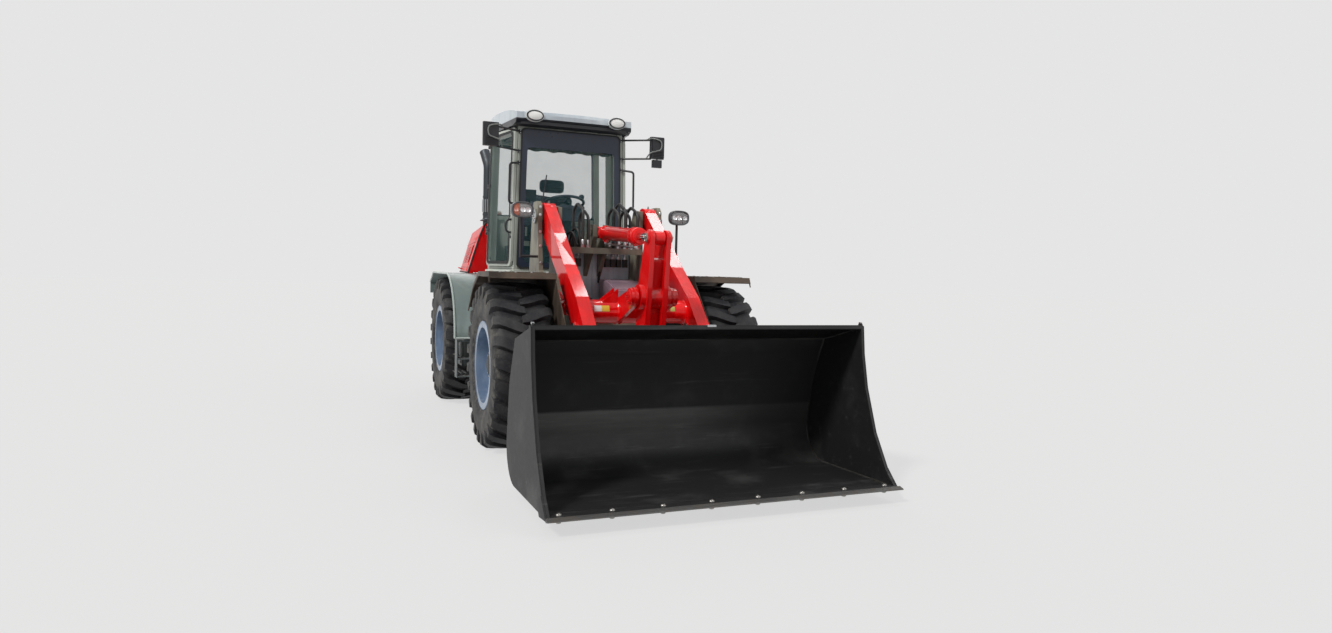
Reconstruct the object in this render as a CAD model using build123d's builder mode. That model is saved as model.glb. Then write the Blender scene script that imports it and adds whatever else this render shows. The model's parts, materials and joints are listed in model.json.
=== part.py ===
"""Articulated wheel loader with a Z-bar lift arm, in millimetres.

+Z is up, the bucket points to -Y and +X is the machine's left side.
The origin is on the ground, in the middle of the machine's length.
"""

from build123d import *
import os
from math import cos, radians, sin

os.makedirs("parts", exist_ok=True)

# ---------------------------------------------------------------- driving dimensions
wheelbase = 2510.0
front_y = -740.0                    # line of the front axle
tyre_radius = 650.0
tyre_width = 460.0
tyre_centre_x = 855.0               # half the track
rim_seat_radius = 306.0             # where the tyre's bead sits on the rim
rim_flange_radius = 342.0
bucket_width = 2250.0
rear_overhang = 1300.0              # rear axle to the back of the counterweight
cab_floor_z = 1400.0
cab_glass_top_z = 2740.0
roof_top_z = 2915.0
running = 0.05                      # radial clearance of a pin in its bore
seat_gap = 0.3                      # gap between a piece and its seat
side_gap = 5.0                      # gap between pieces that pass each other

rear_y = front_y + wheelbase
pivot_y = (front_y + rear_y) / 2    # the articulation is midway between the axles
axle_z = tyre_radius

# Lift arm and Z-bar pivots, (y, z) with the arm down
arm_pivot = (front_y + 440, 1850)
bucket_pivot = (front_y - 1095, 360)
lever_pivot = (front_y - 860, 1225)
lever_top = (front_y - 950, 1650)
lever_foot = (front_y - 800, 560)
link_eye = (front_y - 1200, 555)
tilt_base = (front_y + 390, 1735)
lift_base = (front_y + 560, 1320)
lift_eye = (front_y - 600, 985)
cross_tube = (front_y - 500, 1100)

# Widths across the machine
arm_inner_x, arm_outer_x = 400.0, 500.0
tower_inner_x, tower_outer_x = 520.0, 555.0
inner_plate_x0, inner_plate_x1 = 350.0, 380.0
arm_wall = 20.0
lever_inner_x, lever_outer_x = 45.0, 80.0
eye_half = 35.0                     # half width of the tilt rod's and the link's eyes
pin_radius = 45.0
lever_pin_radius = 35.0
lever_shaft_radius = 66.0           # of the lever's pin inside its hub
link_pin_radius = 30.0
cylinder_pin_radius = 30.0


# ---------------------------------------------------------------- shape helpers
def span(side, inner, outer):
    """The x range of a piece on one side: side is 1 for left and -1 for right."""
    return sorted((side * inner, side * outer))


def prism_yz(points, x_range, corner=0, mode=Mode.ADD):
    """Plate with a (y, z) outline, across an x range."""
    with BuildSketch(Plane.YZ.offset(x_range[0])) as outline:
        with BuildLine():
            Polyline(*points, close=True)
        make_face()
        if corner:
            fillet(outline.vertices(), corner)
    extrude(outline.sketch, amount=x_range[1] - x_range[0], mode=mode)


def prism_xz(points, y_range, corner=0, mode=Mode.ADD):
    """Plate with an (x, z) outline, across a y range."""
    with BuildSketch(Plane.XZ.offset(-y_range[0])) as outline:
        with BuildLine():
            Polyline(*points, close=True)
        make_face()
        if corner:
            fillet(outline.vertices(), corner)
    extrude(outline.sketch, amount=y_range[0] - y_range[1], mode=mode)


def prism_xy(points, z_range, corner=0, mode=Mode.ADD):
    """Plate with an (x, y) outline, across a z range."""
    with BuildSketch(Plane.XY.offset(z_range[0])) as outline:
        with BuildLine():
            Polyline(*points, close=True)
        make_face()
        if corner:
            fillet(outline.vertices(), corner)
    extrude(outline.sketch, amount=z_range[1] - z_range[0], mode=mode)


def block(x_range, y_range, z_range, corner=0, mode=Mode.ADD):
    """Rectangular block, with its upright edges rounded where corner is given."""
    outline = [(x, y) for x, y in zip((x_range[0], x_range[1], x_range[1], x_range[0]),
                                      (y_range[0], y_range[0], y_range[1], y_range[1]))]
    prism_xy(outline, z_range, corner, mode)


def disc_x(centre, radius, x_range, mode=Mode.ADD):
    """Round bar along x, at a (y, z) centre."""
    with BuildSketch(Plane.YZ.offset(x_range[0])) as outline:
        with Locations(centre):
            Circle(radius)
    extrude(outline.sketch, amount=x_range[1] - x_range[0], mode=mode)


def disc_z(centre, radius, z_range, mode=Mode.ADD):
    """Upright round bar, at an (x, y) centre."""
    with BuildSketch(Plane.XY.offset(z_range[0])) as outline:
        with Locations(centre):
            Circle(radius)
    extrude(outline.sketch, amount=z_range[1] - z_range[0], mode=mode)


def hull_yz(circles, x_range, mode=Mode.ADD):
    """Lever plate around (centre, radius) circles, wrapped by straight edges."""
    with BuildSketch(Plane.YZ.offset(x_range[0])) as outline:
        for centre, radius in circles:
            with Locations(centre):
                Circle(radius)
        make_hull()
    extrude(outline.sketch, amount=x_range[1] - x_range[0], mode=mode)


def rod(start, end, radius, mode=Mode.ADD):
    """Round bar between two points."""
    start, end = Vector(*start), Vector(*end)
    with BuildSketch(Plane(origin=start, z_dir=end - start)) as outline:
        Circle(radius)
    extrude(outline.sketch, amount=(end - start).length, mode=mode)


def bar(start, end, width, depth, across=(1, 0, 0), mode=Mode.ADD):
    """Square bar between two points, with its width along the across direction."""
    start, end = Vector(*start), Vector(*end)
    with BuildSketch(Plane(origin=start, x_dir=across, z_dir=end - start)) as outline:
        Rectangle(width, depth)
    extrude(outline.sketch, amount=(end - start).length, mode=mode)


def pipe(points, bend, radius, mode=Mode.ADD):
    """Bent tube along a route of straight runs joined by tangent arcs."""
    with BuildLine() as route:
        FilletPolyline(*points, radius=bend)
    with BuildSketch(Plane(origin=route.line @ 0, z_dir=route.line % 0)) as section:
        Circle(radius)
    sweep(section.sketch, path=route.line, mode=mode)


def along(start, end, distance):
    """Point on the line from start to end, at a distance from start."""
    run = Vector(*end) - Vector(*start)
    return tuple(Vector(*start) + run.normalized() * distance)


def at_x(x, centre):
    """A (y, z) pivot as a point at the given x."""
    return (x, centre[0], centre[1])


def bend_vertex(corner):
    """Vertex of the current sketch that lies at an outline's (u, v) corner."""
    return vertices().sort_by_distance((corner[0], corner[1], 0))[0]


def finish(builder, name):
    """Label a finished piece and write its STEP file."""
    builder.part.label = name
    export_step(builder.part, f"parts/{name}.step")


# ---------------------------------------------------------------- wheels
bead_half = tyre_width / 2 - 40
spindle_radius = 80.0
spindle_end_x = tyre_centre_x + 70
rim_disc_x = 60.0                   # wheel disc, outboard of the rim's centre
rim_wall = 12.0

# Tyre half section, from the bead to the tread: (half width, radius)
tyre_section = [
    (bead_half, rim_seat_radius),
    (bead_half + 2, rim_flange_radius + 4),
    (tyre_width / 2 - 4, tyre_radius - 180),
    (tyre_width / 2, tyre_radius - 110),
    (tyre_width / 2 - 8, tyre_radius - 40),
    (tyre_width / 2 - 30, tyre_radius),
]
# Rim section, barrel and both flanges: (offset from the rim's centre, radius)
flange_x0 = bead_half + 2 + seat_gap
flange_x1 = flange_x0 + 14
rim_section = [
    (-flange_x1, rim_flange_radius),
    (-flange_x0, rim_flange_radius),
    (-flange_x0, rim_seat_radius - seat_gap),
    (flange_x0, rim_seat_radius - seat_gap),
    (flange_x0, rim_flange_radius),
    (flange_x1, rim_flange_radius),
    (flange_x1, rim_seat_radius - rim_wall - seat_gap),
    (-flange_x1, rim_seat_radius - rim_wall - seat_gap),
]
disc_section = [
    (rim_disc_x, rim_seat_radius - rim_wall),
    (rim_disc_x + 16, rim_seat_radius - rim_wall),
    (rim_disc_x + 36, 205),
    (rim_disc_x + 36, 130),
    (rim_disc_x + 50, 120),
    (rim_disc_x + 50, 0),
    (rim_disc_x + 15, 0),
    (rim_disc_x + 15, spindle_radius + running),
    (-60, spindle_radius + running),
    (-60, 125),
    (rim_disc_x + 20, 125),
    (rim_disc_x + 20, 205),
]


def revolve_about_axle(section, side, wheel_y):
    """Turn an (offset, radius) section about the axle line, outboard positive."""
    with BuildSketch(Plane.XZ.offset(-wheel_y)) as outline:
        with BuildLine():
            Polyline(*[(side * (tyre_centre_x + dx), axle_z + r) for dx, r in section], close=True)
        make_face()
    revolve(outline.sketch, axis=Axis((0, wheel_y, axle_z), (1, 0, 0)))


for wheel_name, side, wheel_y in (
    ("front_left", 1, front_y),
    ("front_right", -1, front_y),
    ("rear_left", 1, rear_y),
    ("rear_right", -1, rear_y),
):
    with BuildPart() as tyre:
        inboard_half = [(-half, radius) for half, radius in reversed(tyre_section)]
        revolve_about_axle(tyre_section + inboard_half, side, wheel_y)
    finish(tyre, f"tyre_{wheel_name}")

    with BuildPart() as rim:
        revolve_about_axle(rim_section, side, wheel_y)
        revolve_about_axle(disc_section, side, wheel_y)
    finish(rim, f"rim_{wheel_name}")


# ---------------------------------------------------------------- axles
axle_tube_radius = 95.0
diff_radius = 190.0
hub_housing_radius = 150.0


def axle_housing(line_y):
    """Axle beam with its differential, hub housings and wheel spindles."""
    disc_x((line_y, axle_z), axle_tube_radius, (-640, 640))
    with BuildSketch(Plane.XZ.offset(-line_y)) as half_ball:
        with BuildLine():
            Polyline((-diff_radius, axle_z), (-150, axle_z + 120), (-70, axle_z + 175),
                     (70, axle_z + 175), (150, axle_z + 120), (diff_radius, axle_z), close=True)
        make_face()
    revolve(half_ball.sketch, axis=Axis((0, line_y, axle_z), (1, 0, 0)))
    for side in (-1, 1):
        disc_x((line_y, axle_z), hub_housing_radius, span(side, 560, tyre_centre_x - 80))
        disc_x((line_y, axle_z), spindle_radius, span(side, tyre_centre_x - 90, spindle_end_x))


axle_pad_z = axle_z + 200           # top of the pads that carry the frame

with BuildPart() as front_axle:
    axle_housing(front_y)
    for side in (-1, 1):
        block(span(side, 230, 330), (front_y - 110, front_y + 110), (axle_z, axle_pad_z))
finish(front_axle, "front_axle")

with BuildPart() as rear_axle:
    axle_housing(rear_y)
    block((-110, 110), (rear_y - 240, rear_y + 240), (axle_z - 60, axle_z + 60))
    for end in (-1, 1):
        with BuildSketch(Plane.XZ.offset(-(rear_y + end * 235))) as trunnion:
            with Locations((0, axle_z)):
                Circle(70)
        extrude(trunnion.sketch, amount=-end * 90)
finish(rear_axle, "rear_axle")

# ---------------------------------------------------------------- articulation
tongue_half = 25.0                  # half the thickness of a rear tongue
tongue_radius = 105.0
upper_tongue_z, lower_tongue_z = 1000.0, 600.0
clevis_plate = 35.0
clevis_gap = side_gap
chassis_half = 290.0
chassis_wall = 30.0
front_box_rear_y = pivot_y - 320
steer_eye = (360.0, pivot_y - 450)  # steering rod's eye on the front frame, (x, y)
steer_base = (400.0, pivot_y + 450) # steering barrel's base on the rear frame, (x, y)
steer_z = 930.0
steer_pin_radius = 22.0

# ---------------------------------------------------------------- front chassis
deck_z0, deck_z1 = 1050.0, 1080.0
valve_y, valve_depth, valve_top_z = front_y + 315, 80.0, 1600.0
tower_rear_y = front_y + 640
tower_outline = [
    (front_y - 60, deck_z0),
    (front_y + 300, 1400),
    (front_y + 360, 1760),
    (front_y + 360, 1930),
    (front_y + 400, 1975),
    (front_y + 520, 1975),
    (front_y + 570, 1900),
    (tower_rear_y, 1450),
    (tower_rear_y, deck_z0),
]
inner_plate_outline = [
    (front_y + 300, deck_z1),
    (front_y + 360, 1760),
    (front_y + 360, 1930),
    (front_y + 520, 1950),
    (front_y + 570, 1850),
    (tower_rear_y, 1450),
    (tower_rear_y, deck_z1),
]
tilt_bracket_outline = [
    (tower_rear_y - 20, 1330),
    (front_y + 480, 1500),
    (tilt_base[0] - 70, tilt_base[1] - 40),
    (tilt_base[0] - 60, tilt_base[1] + 60),
    (tilt_base[0] + 60, tilt_base[1] + 70),
    (tower_rear_y - 20, 1660),
]

with BuildPart() as front_chassis:
    # Box frame over the front axle, open at the rear
    block((-chassis_half, chassis_half), (front_y - 300, front_box_rear_y), (axle_pad_z, deck_z1))
    block((-chassis_half + chassis_wall, chassis_half - chassis_wall),
          (front_y - 300 + chassis_wall, front_box_rear_y),
          (axle_pad_z + chassis_wall, deck_z0), mode=Mode.SUBTRACT)
    block((-chassis_half, chassis_half), (front_box_rear_y - chassis_wall, front_box_rear_y),
          (lower_tongue_z - tongue_half - clevis_gap - clevis_plate, deck_z1 + 20))
    # Clevis plates above and below each tongue, with their pins
    for level_z in (lower_tongue_z, upper_tongue_z):
        for updown in (-1, 1):
            z0 = level_z + updown * (tongue_half + clevis_gap)
            z_range = sorted((z0, z0 + updown * clevis_plate))
            block((-tongue_radius, tongue_radius), (front_box_rear_y - chassis_wall, pivot_y), z_range)
            disc_z((0, pivot_y), tongue_radius, z_range)
        disc_z((0, pivot_y), pin_radius, (level_z - 80, level_z + 80))
    # Ears of the steering cylinders' rod eyes, with stub pins that stop short of the eye
    for side in (-1, 1):
        for updown in (-1, 1):
            z_range = sorted((steer_z + updown * 32, steer_z + updown * 50))
            prism_xy([(side * (chassis_half - 5), steer_eye[1] - 70),
                      (side * (steer_eye[0] + 45), steer_eye[1] - 45),
                      (side * (steer_eye[0] + 45), steer_eye[1] + 45),
                      (side * (chassis_half - 5), steer_eye[1] + 70)], z_range)
            disc_z((side * steer_eye[0], steer_eye[1]), steer_pin_radius + 8,
                   sorted((steer_z + updown * 50, steer_z + updown * 60)))
    # Deck and tower plates
    block((-tower_outer_x, tower_outer_x), (front_y - 60, tower_rear_y), (deck_z0, deck_z1))
    for side in (-1, 1):
        prism_yz(tower_outline, span(side, tower_inner_x, tower_outer_x))
        prism_yz(inner_plate_outline, span(side, inner_plate_x0, inner_plate_x1))
        prism_yz(tilt_bracket_outline, span(side, lever_inner_x, lever_outer_x))
        # Arm pivot and lift cylinder pins, with their caps
        disc_x(arm_pivot, pin_radius, span(side, inner_plate_x0 - 10, tower_outer_x + 10))
        disc_x(arm_pivot, pin_radius + 18, span(side, tower_outer_x, tower_outer_x + 10))
        disc_x(lift_base, cylinder_pin_radius, span(side, inner_plate_x0 - 10, tower_outer_x + 8))
    block((-inner_plate_x0, inner_plate_x0), (tower_rear_y - 30, tower_rear_y), (deck_z1, 1660))
    # Valve bank under the tilt cylinder, where the hoses end
    block((-inner_plate_x0, inner_plate_x0), (valve_y - valve_depth / 2, valve_y + valve_depth / 2),
          (valve_top_z - 50, valve_top_z))
    disc_x(tilt_base, cylinder_pin_radius, (-lever_outer_x - 10, lever_outer_x + 10))
finish(front_chassis, "front_chassis")

# ---------------------------------------------------------------- front fenders
fender_plate = 6.0
fender_inner_x, fender_outer_x = 578.0, 1085.0
# Bent plate over the wheel, from front to rear: (y, z) of the top face
fender_bends = [
    (front_y - 345, 1335),
    (front_y - 325, 1378),
    (front_y + 105, 1378),
    (front_y + 330, 1276),
    (front_y + 560, 1080),
]
skirt_outline = [
    (front_y - 640, 1000),
    (front_y - 300, 1372),
    (front_y + 105, 1372),
    (front_y + 330, 1270),
    (front_y + 560, 1074),
    (front_y + 560, 960),
    (front_y - 560, 960),
]

with BuildPart() as front_fenders:
    for side in (-1, 1):
        lower = [(y, z - fender_plate) for y, z in reversed(fender_bends)]
        prism_yz(fender_bends + lower, span(side, fender_inner_x, fender_outer_x))
        prism_yz(skirt_outline, span(side, fender_inner_x, fender_inner_x + fender_plate))
        # Flange along the outer edge
        flange = [(y, z - fender_plate) for y, z in fender_bends]
        flange_low = [(y, z - 36) for y, z in reversed(fender_bends)]
        prism_yz(flange + flange_low, span(side, fender_outer_x - fender_plate, fender_outer_x))
        # Spacers that bolt the skirt to the tower
        for spot in ((front_y + 80, 1110), (front_y + 500, 1110)):
            disc_x(spot, 30, span(side, tower_outer_x, fender_inner_x))
finish(front_fenders, "front_fenders")

# ---------------------------------------------------------------- headlights
lamp_x, lamp_y, lamp_z = 700.0, front_y + 350, 1890.0
lamp_width, lamp_height, lamp_depth = 180.0, 125.0, 95.0

with BuildPart() as headlights:
    for side in (-1, 1):
        with BuildSketch(Plane.XZ.offset(-(lamp_y - lamp_depth / 2))) as lamp_face:
            with Locations((side * lamp_x, lamp_z)):
                Ellipse(lamp_width / 2, lamp_height / 2)
        with BuildSketch(Plane.XZ.offset(-(lamp_y + lamp_depth / 2))) as lamp_back:
            with Locations((side * lamp_x, lamp_z)):
                Ellipse(lamp_width / 2 - 35, lamp_height / 2 - 25)
        loft([lamp_face.sketch, lamp_back.sketch])
        rod((side * lamp_x, lamp_y, lamp_z - 20), (side * lamp_x, lamp_y, 1500), 11)
        rod((side * lamp_x, lamp_y, 1511), (side * tower_outer_x, lamp_y, 1511), 11)
finish(headlights, "headlights")

# ---------------------------------------------------------------- hydraulic hoses
hose_radius = 13.0
hose_bend = 70.0
hose_foot_z = 1500.0
hose_fitting = 40.0
# Hoses from the tower's cross plate to the valve bank: (x, height of the loop, end's y from valve_y)
hose_rows = [
    (-190, 1985, -5),
    (-135, 1930, 20),
    (130, 1960, -5),
    (185, 2000, -20),
    (240, 1940, 15),
    (300, 1975, -12),
]

with BuildPart() as hydraulic_hoses:
    for x, loop_z, end_dy in hose_rows:
        hose_y = tower_rear_y - 60
        pipe([
            (x, hose_y, hose_foot_z),
            (x, hose_y - 15, loop_z - 60),
            (x + 12, hose_y - 90, loop_z),
            (x + 10, valve_y + end_dy, loop_z - 70),
            (x + 10, valve_y + end_dy, valve_top_z + seat_gap),
        ], hose_bend, hose_radius)
        # Fitting at the foot of each hose, on the cross plate
        block((x - hose_fitting / 2, x + hose_fitting / 2), (hose_y - 22, tower_rear_y - 30 - seat_gap),
              (hose_foot_z - 60, hose_foot_z + 10))
finish(hydraulic_hoses, "hydraulic_hoses")

# ---------------------------------------------------------------- lift arm
arm_hub_radius = 115.0
arm_tip_radius = 88.0
# Edges of each arm, from the tower to the bucket: (y, z)
arm_top_edge = [
    (arm_pivot[0] - 60, arm_pivot[1] + 95),
    (front_y + 60, 1700),
    (front_y - 260, 1450),
    (front_y - 600, 1215),
    (front_y - 800, 1010),
    (front_y - 1020, 640),
    (bucket_pivot[0] - arm_tip_radius + 8, bucket_pivot[1] + 30),
]
arm_low_edge = [
    (bucket_pivot[0] + arm_tip_radius - 8, bucket_pivot[1] + 30),
    (front_y - 820, 700),
    (front_y - 660, 900),
    (lift_eye[0] + 10, lift_eye[1] - 60),
    (lift_eye[0] + 120, lift_eye[1] + 20),
    (front_y - 130, 1330),
    (arm_pivot[0] + 40, arm_pivot[1] - 105),
]
channel_roof = 30.0                 # thickness of the arm's top flange

lever_hub_x = 115.0                 # half length of the Z-bar lever's hub

with BuildPart() as lift_arm:
    for side in (-1, 1):
        prism_yz(arm_top_edge + arm_low_edge, span(side, arm_inner_x, arm_outer_x))
        disc_x(arm_pivot, arm_hub_radius, span(side, arm_inner_x, arm_outer_x))
        disc_x(bucket_pivot, arm_tip_radius, span(side, arm_inner_x, arm_outer_x))
        # The middle of each arm is a channel, open below for the lift cylinder
        roof = [(y, z - channel_roof) for y, z in arm_top_edge[1:5]]
        below = [(roof[-1][0], roof[-1][1] - 700), (roof[0][0], roof[0][1] - 700)]
        prism_yz(roof + below, span(side, arm_inner_x + arm_wall, arm_outer_x - arm_wall),
                 mode=Mode.SUBTRACT)
        # Lift cylinder pin heads, outside the channel only
        for x0, x1 in ((arm_inner_x - 12, arm_inner_x), (arm_outer_x, arm_outer_x + 12)):
            disc_x(lift_eye, cylinder_pin_radius + 12, span(side, x0, x1))
        # Brackets of the Z-bar lever
        hull_yz([(cross_tube, 90), (lever_pivot, 70)], span(side, 125, 155))
    disc_x(cross_tube, 90, (-arm_inner_x, arm_inner_x))
    for side in (-1, 1):
        disc_x(arm_pivot, pin_radius + running, span(side, arm_inner_x - 1, arm_outer_x + 1),
               mode=Mode.SUBTRACT)
        disc_x(bucket_pivot, pin_radius + running, span(side, arm_inner_x - 1, arm_outer_x + 1),
               mode=Mode.SUBTRACT)
        disc_x(lever_pivot, lever_pin_radius + running, span(side, 120, 160), mode=Mode.SUBTRACT)
finish(lift_arm, "lift_arm")

with BuildPart() as lever_pin:
    # Thick inside the lever's hub, necked down through the arm's brackets
    disc_x(lever_pivot, lever_pin_radius, (-165, 165))
    disc_x(lever_pivot, lever_shaft_radius, (-lever_hub_x, lever_hub_x))
    for side in (-1, 1):
        disc_x(lever_pivot, 64, span(side, 155 + seat_gap, 178))
finish(lever_pin, "lever_pin")

# ---------------------------------------------------------------- Z-bar lever and link
web_top = along(lever_top, lever_pivot, 150)
web_bottom = along(lever_pivot, lever_foot, 420)

with BuildPart() as bellcrank:
    for side in (-1, 1):
        hull_yz([(lever_top, 58), (lever_pivot, 105)], span(side, lever_inner_x, lever_outer_x))
        hull_yz([(lever_pivot, 105), (lever_foot, 62)], span(side, lever_inner_x, lever_outer_x))
        # Pin heads for the tilt rod and the link, outside the plates only
        for eye in (lever_top, lever_foot):
            disc_x(eye, cylinder_pin_radius + 12, span(side, lever_outer_x, lever_outer_x + 12))
    # Web between the two plates, with a window above the hub
    bar((0, *web_top), (0, *lever_pivot), 2 * lever_inner_x, 60)
    bar((0, *lever_pivot), (0, *web_bottom), 2 * lever_inner_x, 60)
    disc_x(lever_pivot, lever_shaft_radius + 24, (-lever_hub_x, lever_hub_x))
    disc_x(lever_pivot, lever_shaft_radius + running, (-lever_hub_x - 1, lever_hub_x + 1),
           mode=Mode.SUBTRACT)
finish(bellcrank, "bellcrank")

link_ear_x0, link_ear_x1 = 50.0, 85.0  # the hitch's ears beside the link

with BuildPart() as link_pin:
    disc_x(link_eye, link_pin_radius, (-link_ear_x1 - 14, link_ear_x1 + 14))
    for side in (-1, 1):
        disc_x(link_eye, link_pin_radius + 30, span(side, link_ear_x1 + seat_gap, link_ear_x1 + 26))
finish(link_pin, "link_pin")

with BuildPart() as tilt_link:
    hull_yz([(lever_foot, 50), (link_eye, 42)], (-eye_half, eye_half))
    disc_x(link_eye, link_pin_radius + running, (-eye_half - 1, eye_half + 1), mode=Mode.SUBTRACT)
finish(tilt_link, "tilt_link")

# ---------------------------------------------------------------- tilt and lift cylinders
tilt_barrel_radius, tilt_rod_radius = 58.0, 30.0
lift_barrel_radius, lift_rod_radius = 46.0, 25.0
barrel_half = 30.0                  # half width of a barrel's base eye
eye_reach = 110.0                   # from a barrel's base pin to the full barrel


def barrel(x, base, target, length, radius, rod_radius, pin_radius_here, eye_radius=50.0):
    """Cylinder barrel from its base eye towards target, bored for its rod."""
    start, end = at_x(x, base), at_x(x, target)
    rod(start, along(start, end, eye_reach + 10), barrel_half - 4)
    rod(along(start, end, eye_reach), along(start, end, length), radius)
    rod(along(start, end, length - 70), along(start, end, length), radius + 8)
    disc_x(base, eye_radius, (x - barrel_half, x + barrel_half))
    rod(along(start, end, eye_reach + 30), along(start, end, length + 1), rod_radius + running,
        mode=Mode.SUBTRACT)
    disc_x(base, pin_radius_here + running, (x - barrel_half - 1, x + barrel_half + 1),
           mode=Mode.SUBTRACT)


def piston_rod(x, base, target, inside, radius, eye_radius, half_width):
    """Piston rod from inside the barrel to its eye at target."""
    start, end = at_x(x, base), at_x(x, target)
    rod(along(start, end, inside), end, radius)
    disc_x(target, eye_radius, (x - half_width, x + half_width))


tilt_barrel_length = 960.0
lift_barrel_length = 780.0

with BuildPart() as tilt_barrel:
    barrel(0, tilt_base, lever_top, tilt_barrel_length, tilt_barrel_radius, tilt_rod_radius,
           cylinder_pin_radius)
finish(tilt_barrel, "tilt_barrel")

with BuildPart() as tilt_rod:
    piston_rod(0, tilt_base, lever_top, 330, tilt_rod_radius, 50, eye_half)
finish(tilt_rod, "tilt_rod")

lift_x = (arm_inner_x + arm_outer_x) / 2

with BuildPart() as lift_barrels:
    for side in (-1, 1):
        barrel(side * lift_x, lift_base, lift_eye, lift_barrel_length, lift_barrel_radius,
               lift_rod_radius, cylinder_pin_radius)
finish(lift_barrels, "lift_barrels")

with BuildPart() as lift_rods:
    for side in (-1, 1):
        piston_rod(side * lift_x, lift_base, lift_eye, 150, lift_rod_radius, 42, 22)
finish(lift_rods, "lift_rods")

# ---------------------------------------------------------------- bucket
bucket_plate = 12.0
bucket_side = 16.0
bucket_half = bucket_width / 2
# Side of the bucket, from the lip down the side edge, along the floor and up the back: (y, z)
lip = (front_y - 1865, 1088)
tip = (front_y - 2290, 84)
bucket_profile = [
    lip,
    (front_y - 1885, 900),
    (front_y - 1935, 680),
    (front_y - 2045, 400),
    (front_y - 2180, 190),
    tip,
    (front_y - 1190, 62),
    (front_y - 1285, 690),
    (front_y - 1425, 978),
]
heel_radius = 235.0
back_radius = 260.0
edge_half = bucket_half + 14        # the cutting edge is a little wider than the sides
edge_y0, edge_y1 = front_y - 2330, tip[0] - seat_gap


def bucket_outline():
    """Side view of the bucket, with the bends of its heel and back."""
    with BuildLine() as edge_line:
        Polyline(*bucket_profile, close=True)
    make_face(edge_line.edges())
    for corner, radius in ((bucket_profile[6], heel_radius), (bucket_profile[7], back_radius)):
        fillet(bend_vertex(corner), radius)


with BuildPart() as bucket:
    with BuildSketch(Plane.YZ.offset(-bucket_half)) as side_outline:
        bucket_outline()
    extrude(side_outline.sketch, amount=bucket_width)
    with BuildSketch(Plane.YZ.offset(-bucket_half + bucket_side)) as hollow:
        bucket_outline()
        offset(amount=-bucket_plate, kind=Kind.INTERSECTION, mode=Mode.REPLACE)
        # Open the front from the lip to the cutting edge, just behind the side plates' edges
        with BuildLine():
            Polyline(
                (lip[0] + 20, lip[1] - bucket_plate - 8),
                *[(y + 2 * bucket_plate, z) for y, z in bucket_profile[1:5]],
                (tip[0] + 120, tip[1] + bucket_plate - 8),
                (tip[0] - 300, tip[1] + bucket_plate - 8),
                (lip[0] - 400, lip[1] - bucket_plate - 8),
                close=True,
            )
        make_face()
    extrude(hollow.sketch, amount=bucket_width - 2 * bucket_side, mode=Mode.SUBTRACT)
finish(bucket, "bucket")

with BuildPart() as cutting_edge:
    # Bevelled wear plate against the front edge of the floor
    prism_yz([(edge_y0, 92), (edge_y0 + 4, 98), (edge_y1, 108), (edge_y1, 84)],
             (-edge_half, edge_half))
finish(cutting_edge, "cutting_edge")

# ---------------------------------------------------------------- quick hitch and its pins
hitch_plate = 30.0
hitch_gap = 15.0
ear_x = [
    (arm_inner_x - hitch_gap - hitch_plate, arm_inner_x - hitch_gap),
    (arm_outer_x + hitch_gap, arm_outer_x + hitch_gap + hitch_plate),
]


def behind_bucket(z, reach):
    """Point at a height on the bucket's back, moved straight out behind it by reach."""
    bend = Vector(*bucket_profile[7])
    end = Vector(*bucket_profile[6]) if z <= bend.Y else Vector(*bucket_profile[8])
    run = (end - bend).normalized()
    outward = Vector(abs(run.Y), abs(run.X))
    spot = bend + run * ((z - bend.Y) / run.Y) + outward * reach
    return (spot.X, spot.Y)


carrier_low = (behind_bucket(300, 45 + seat_gap), 45)
carrier_mid = (behind_bucket(420, 50 + seat_gap), 50)
carrier_bend = (behind_bucket(bucket_profile[7][1], 54), 50)
carrier_top = (behind_bucket(820, 45 + seat_gap), 45)

with BuildPart() as quick_hitch:
    for side in (-1, 1):
        for x0, x1 in ear_x:
            hull_yz([(bucket_pivot, 85), carrier_mid, carrier_low], span(side, x0, x1))
            hull_yz([carrier_mid, carrier_bend], span(side, x0, x1))
            hull_yz([carrier_bend, carrier_top], span(side, x0, x1))
        hull_yz([(link_eye, 58), carrier_bend, carrier_mid], span(side, link_ear_x0, link_ear_x1))
        hull_yz([carrier_bend, carrier_top], span(side, link_ear_x0, link_ear_x1))
        hull_yz([carrier_mid, carrier_low], span(side, link_ear_x0, link_ear_x1))
    disc_x(carrier_top[0], 40, (-ear_x[1][1], ear_x[1][1]))
    for side in (-1, 1):
        disc_x(bucket_pivot, pin_radius + running, span(side, ear_x[0][0] - 1, ear_x[1][1] + 1),
               mode=Mode.SUBTRACT)
    disc_x(link_eye, link_pin_radius + running, (-link_ear_x1 - 1, link_ear_x1 + 1), mode=Mode.SUBTRACT)
finish(quick_hitch, "quick_hitch")

hinge_tube_radius = 88.0

with BuildPart() as hitch_shafts:
    # A pin through each arm tip, thicker between the hitch's ears and the space for the link
    for side in (-1, 1):
        disc_x(bucket_pivot, pin_radius, span(side, link_ear_x1 + hitch_gap, ear_x[1][1] + 10))
        disc_x(bucket_pivot, hinge_tube_radius,
               span(side, link_ear_x1 + hitch_gap, ear_x[0][0] - hitch_gap / 2))
        disc_x(bucket_pivot, pin_radius + 14,
               span(side, ear_x[1][1] + seat_gap, ear_x[1][1] + 12))
finish(hitch_shafts, "hitch_shafts")

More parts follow.
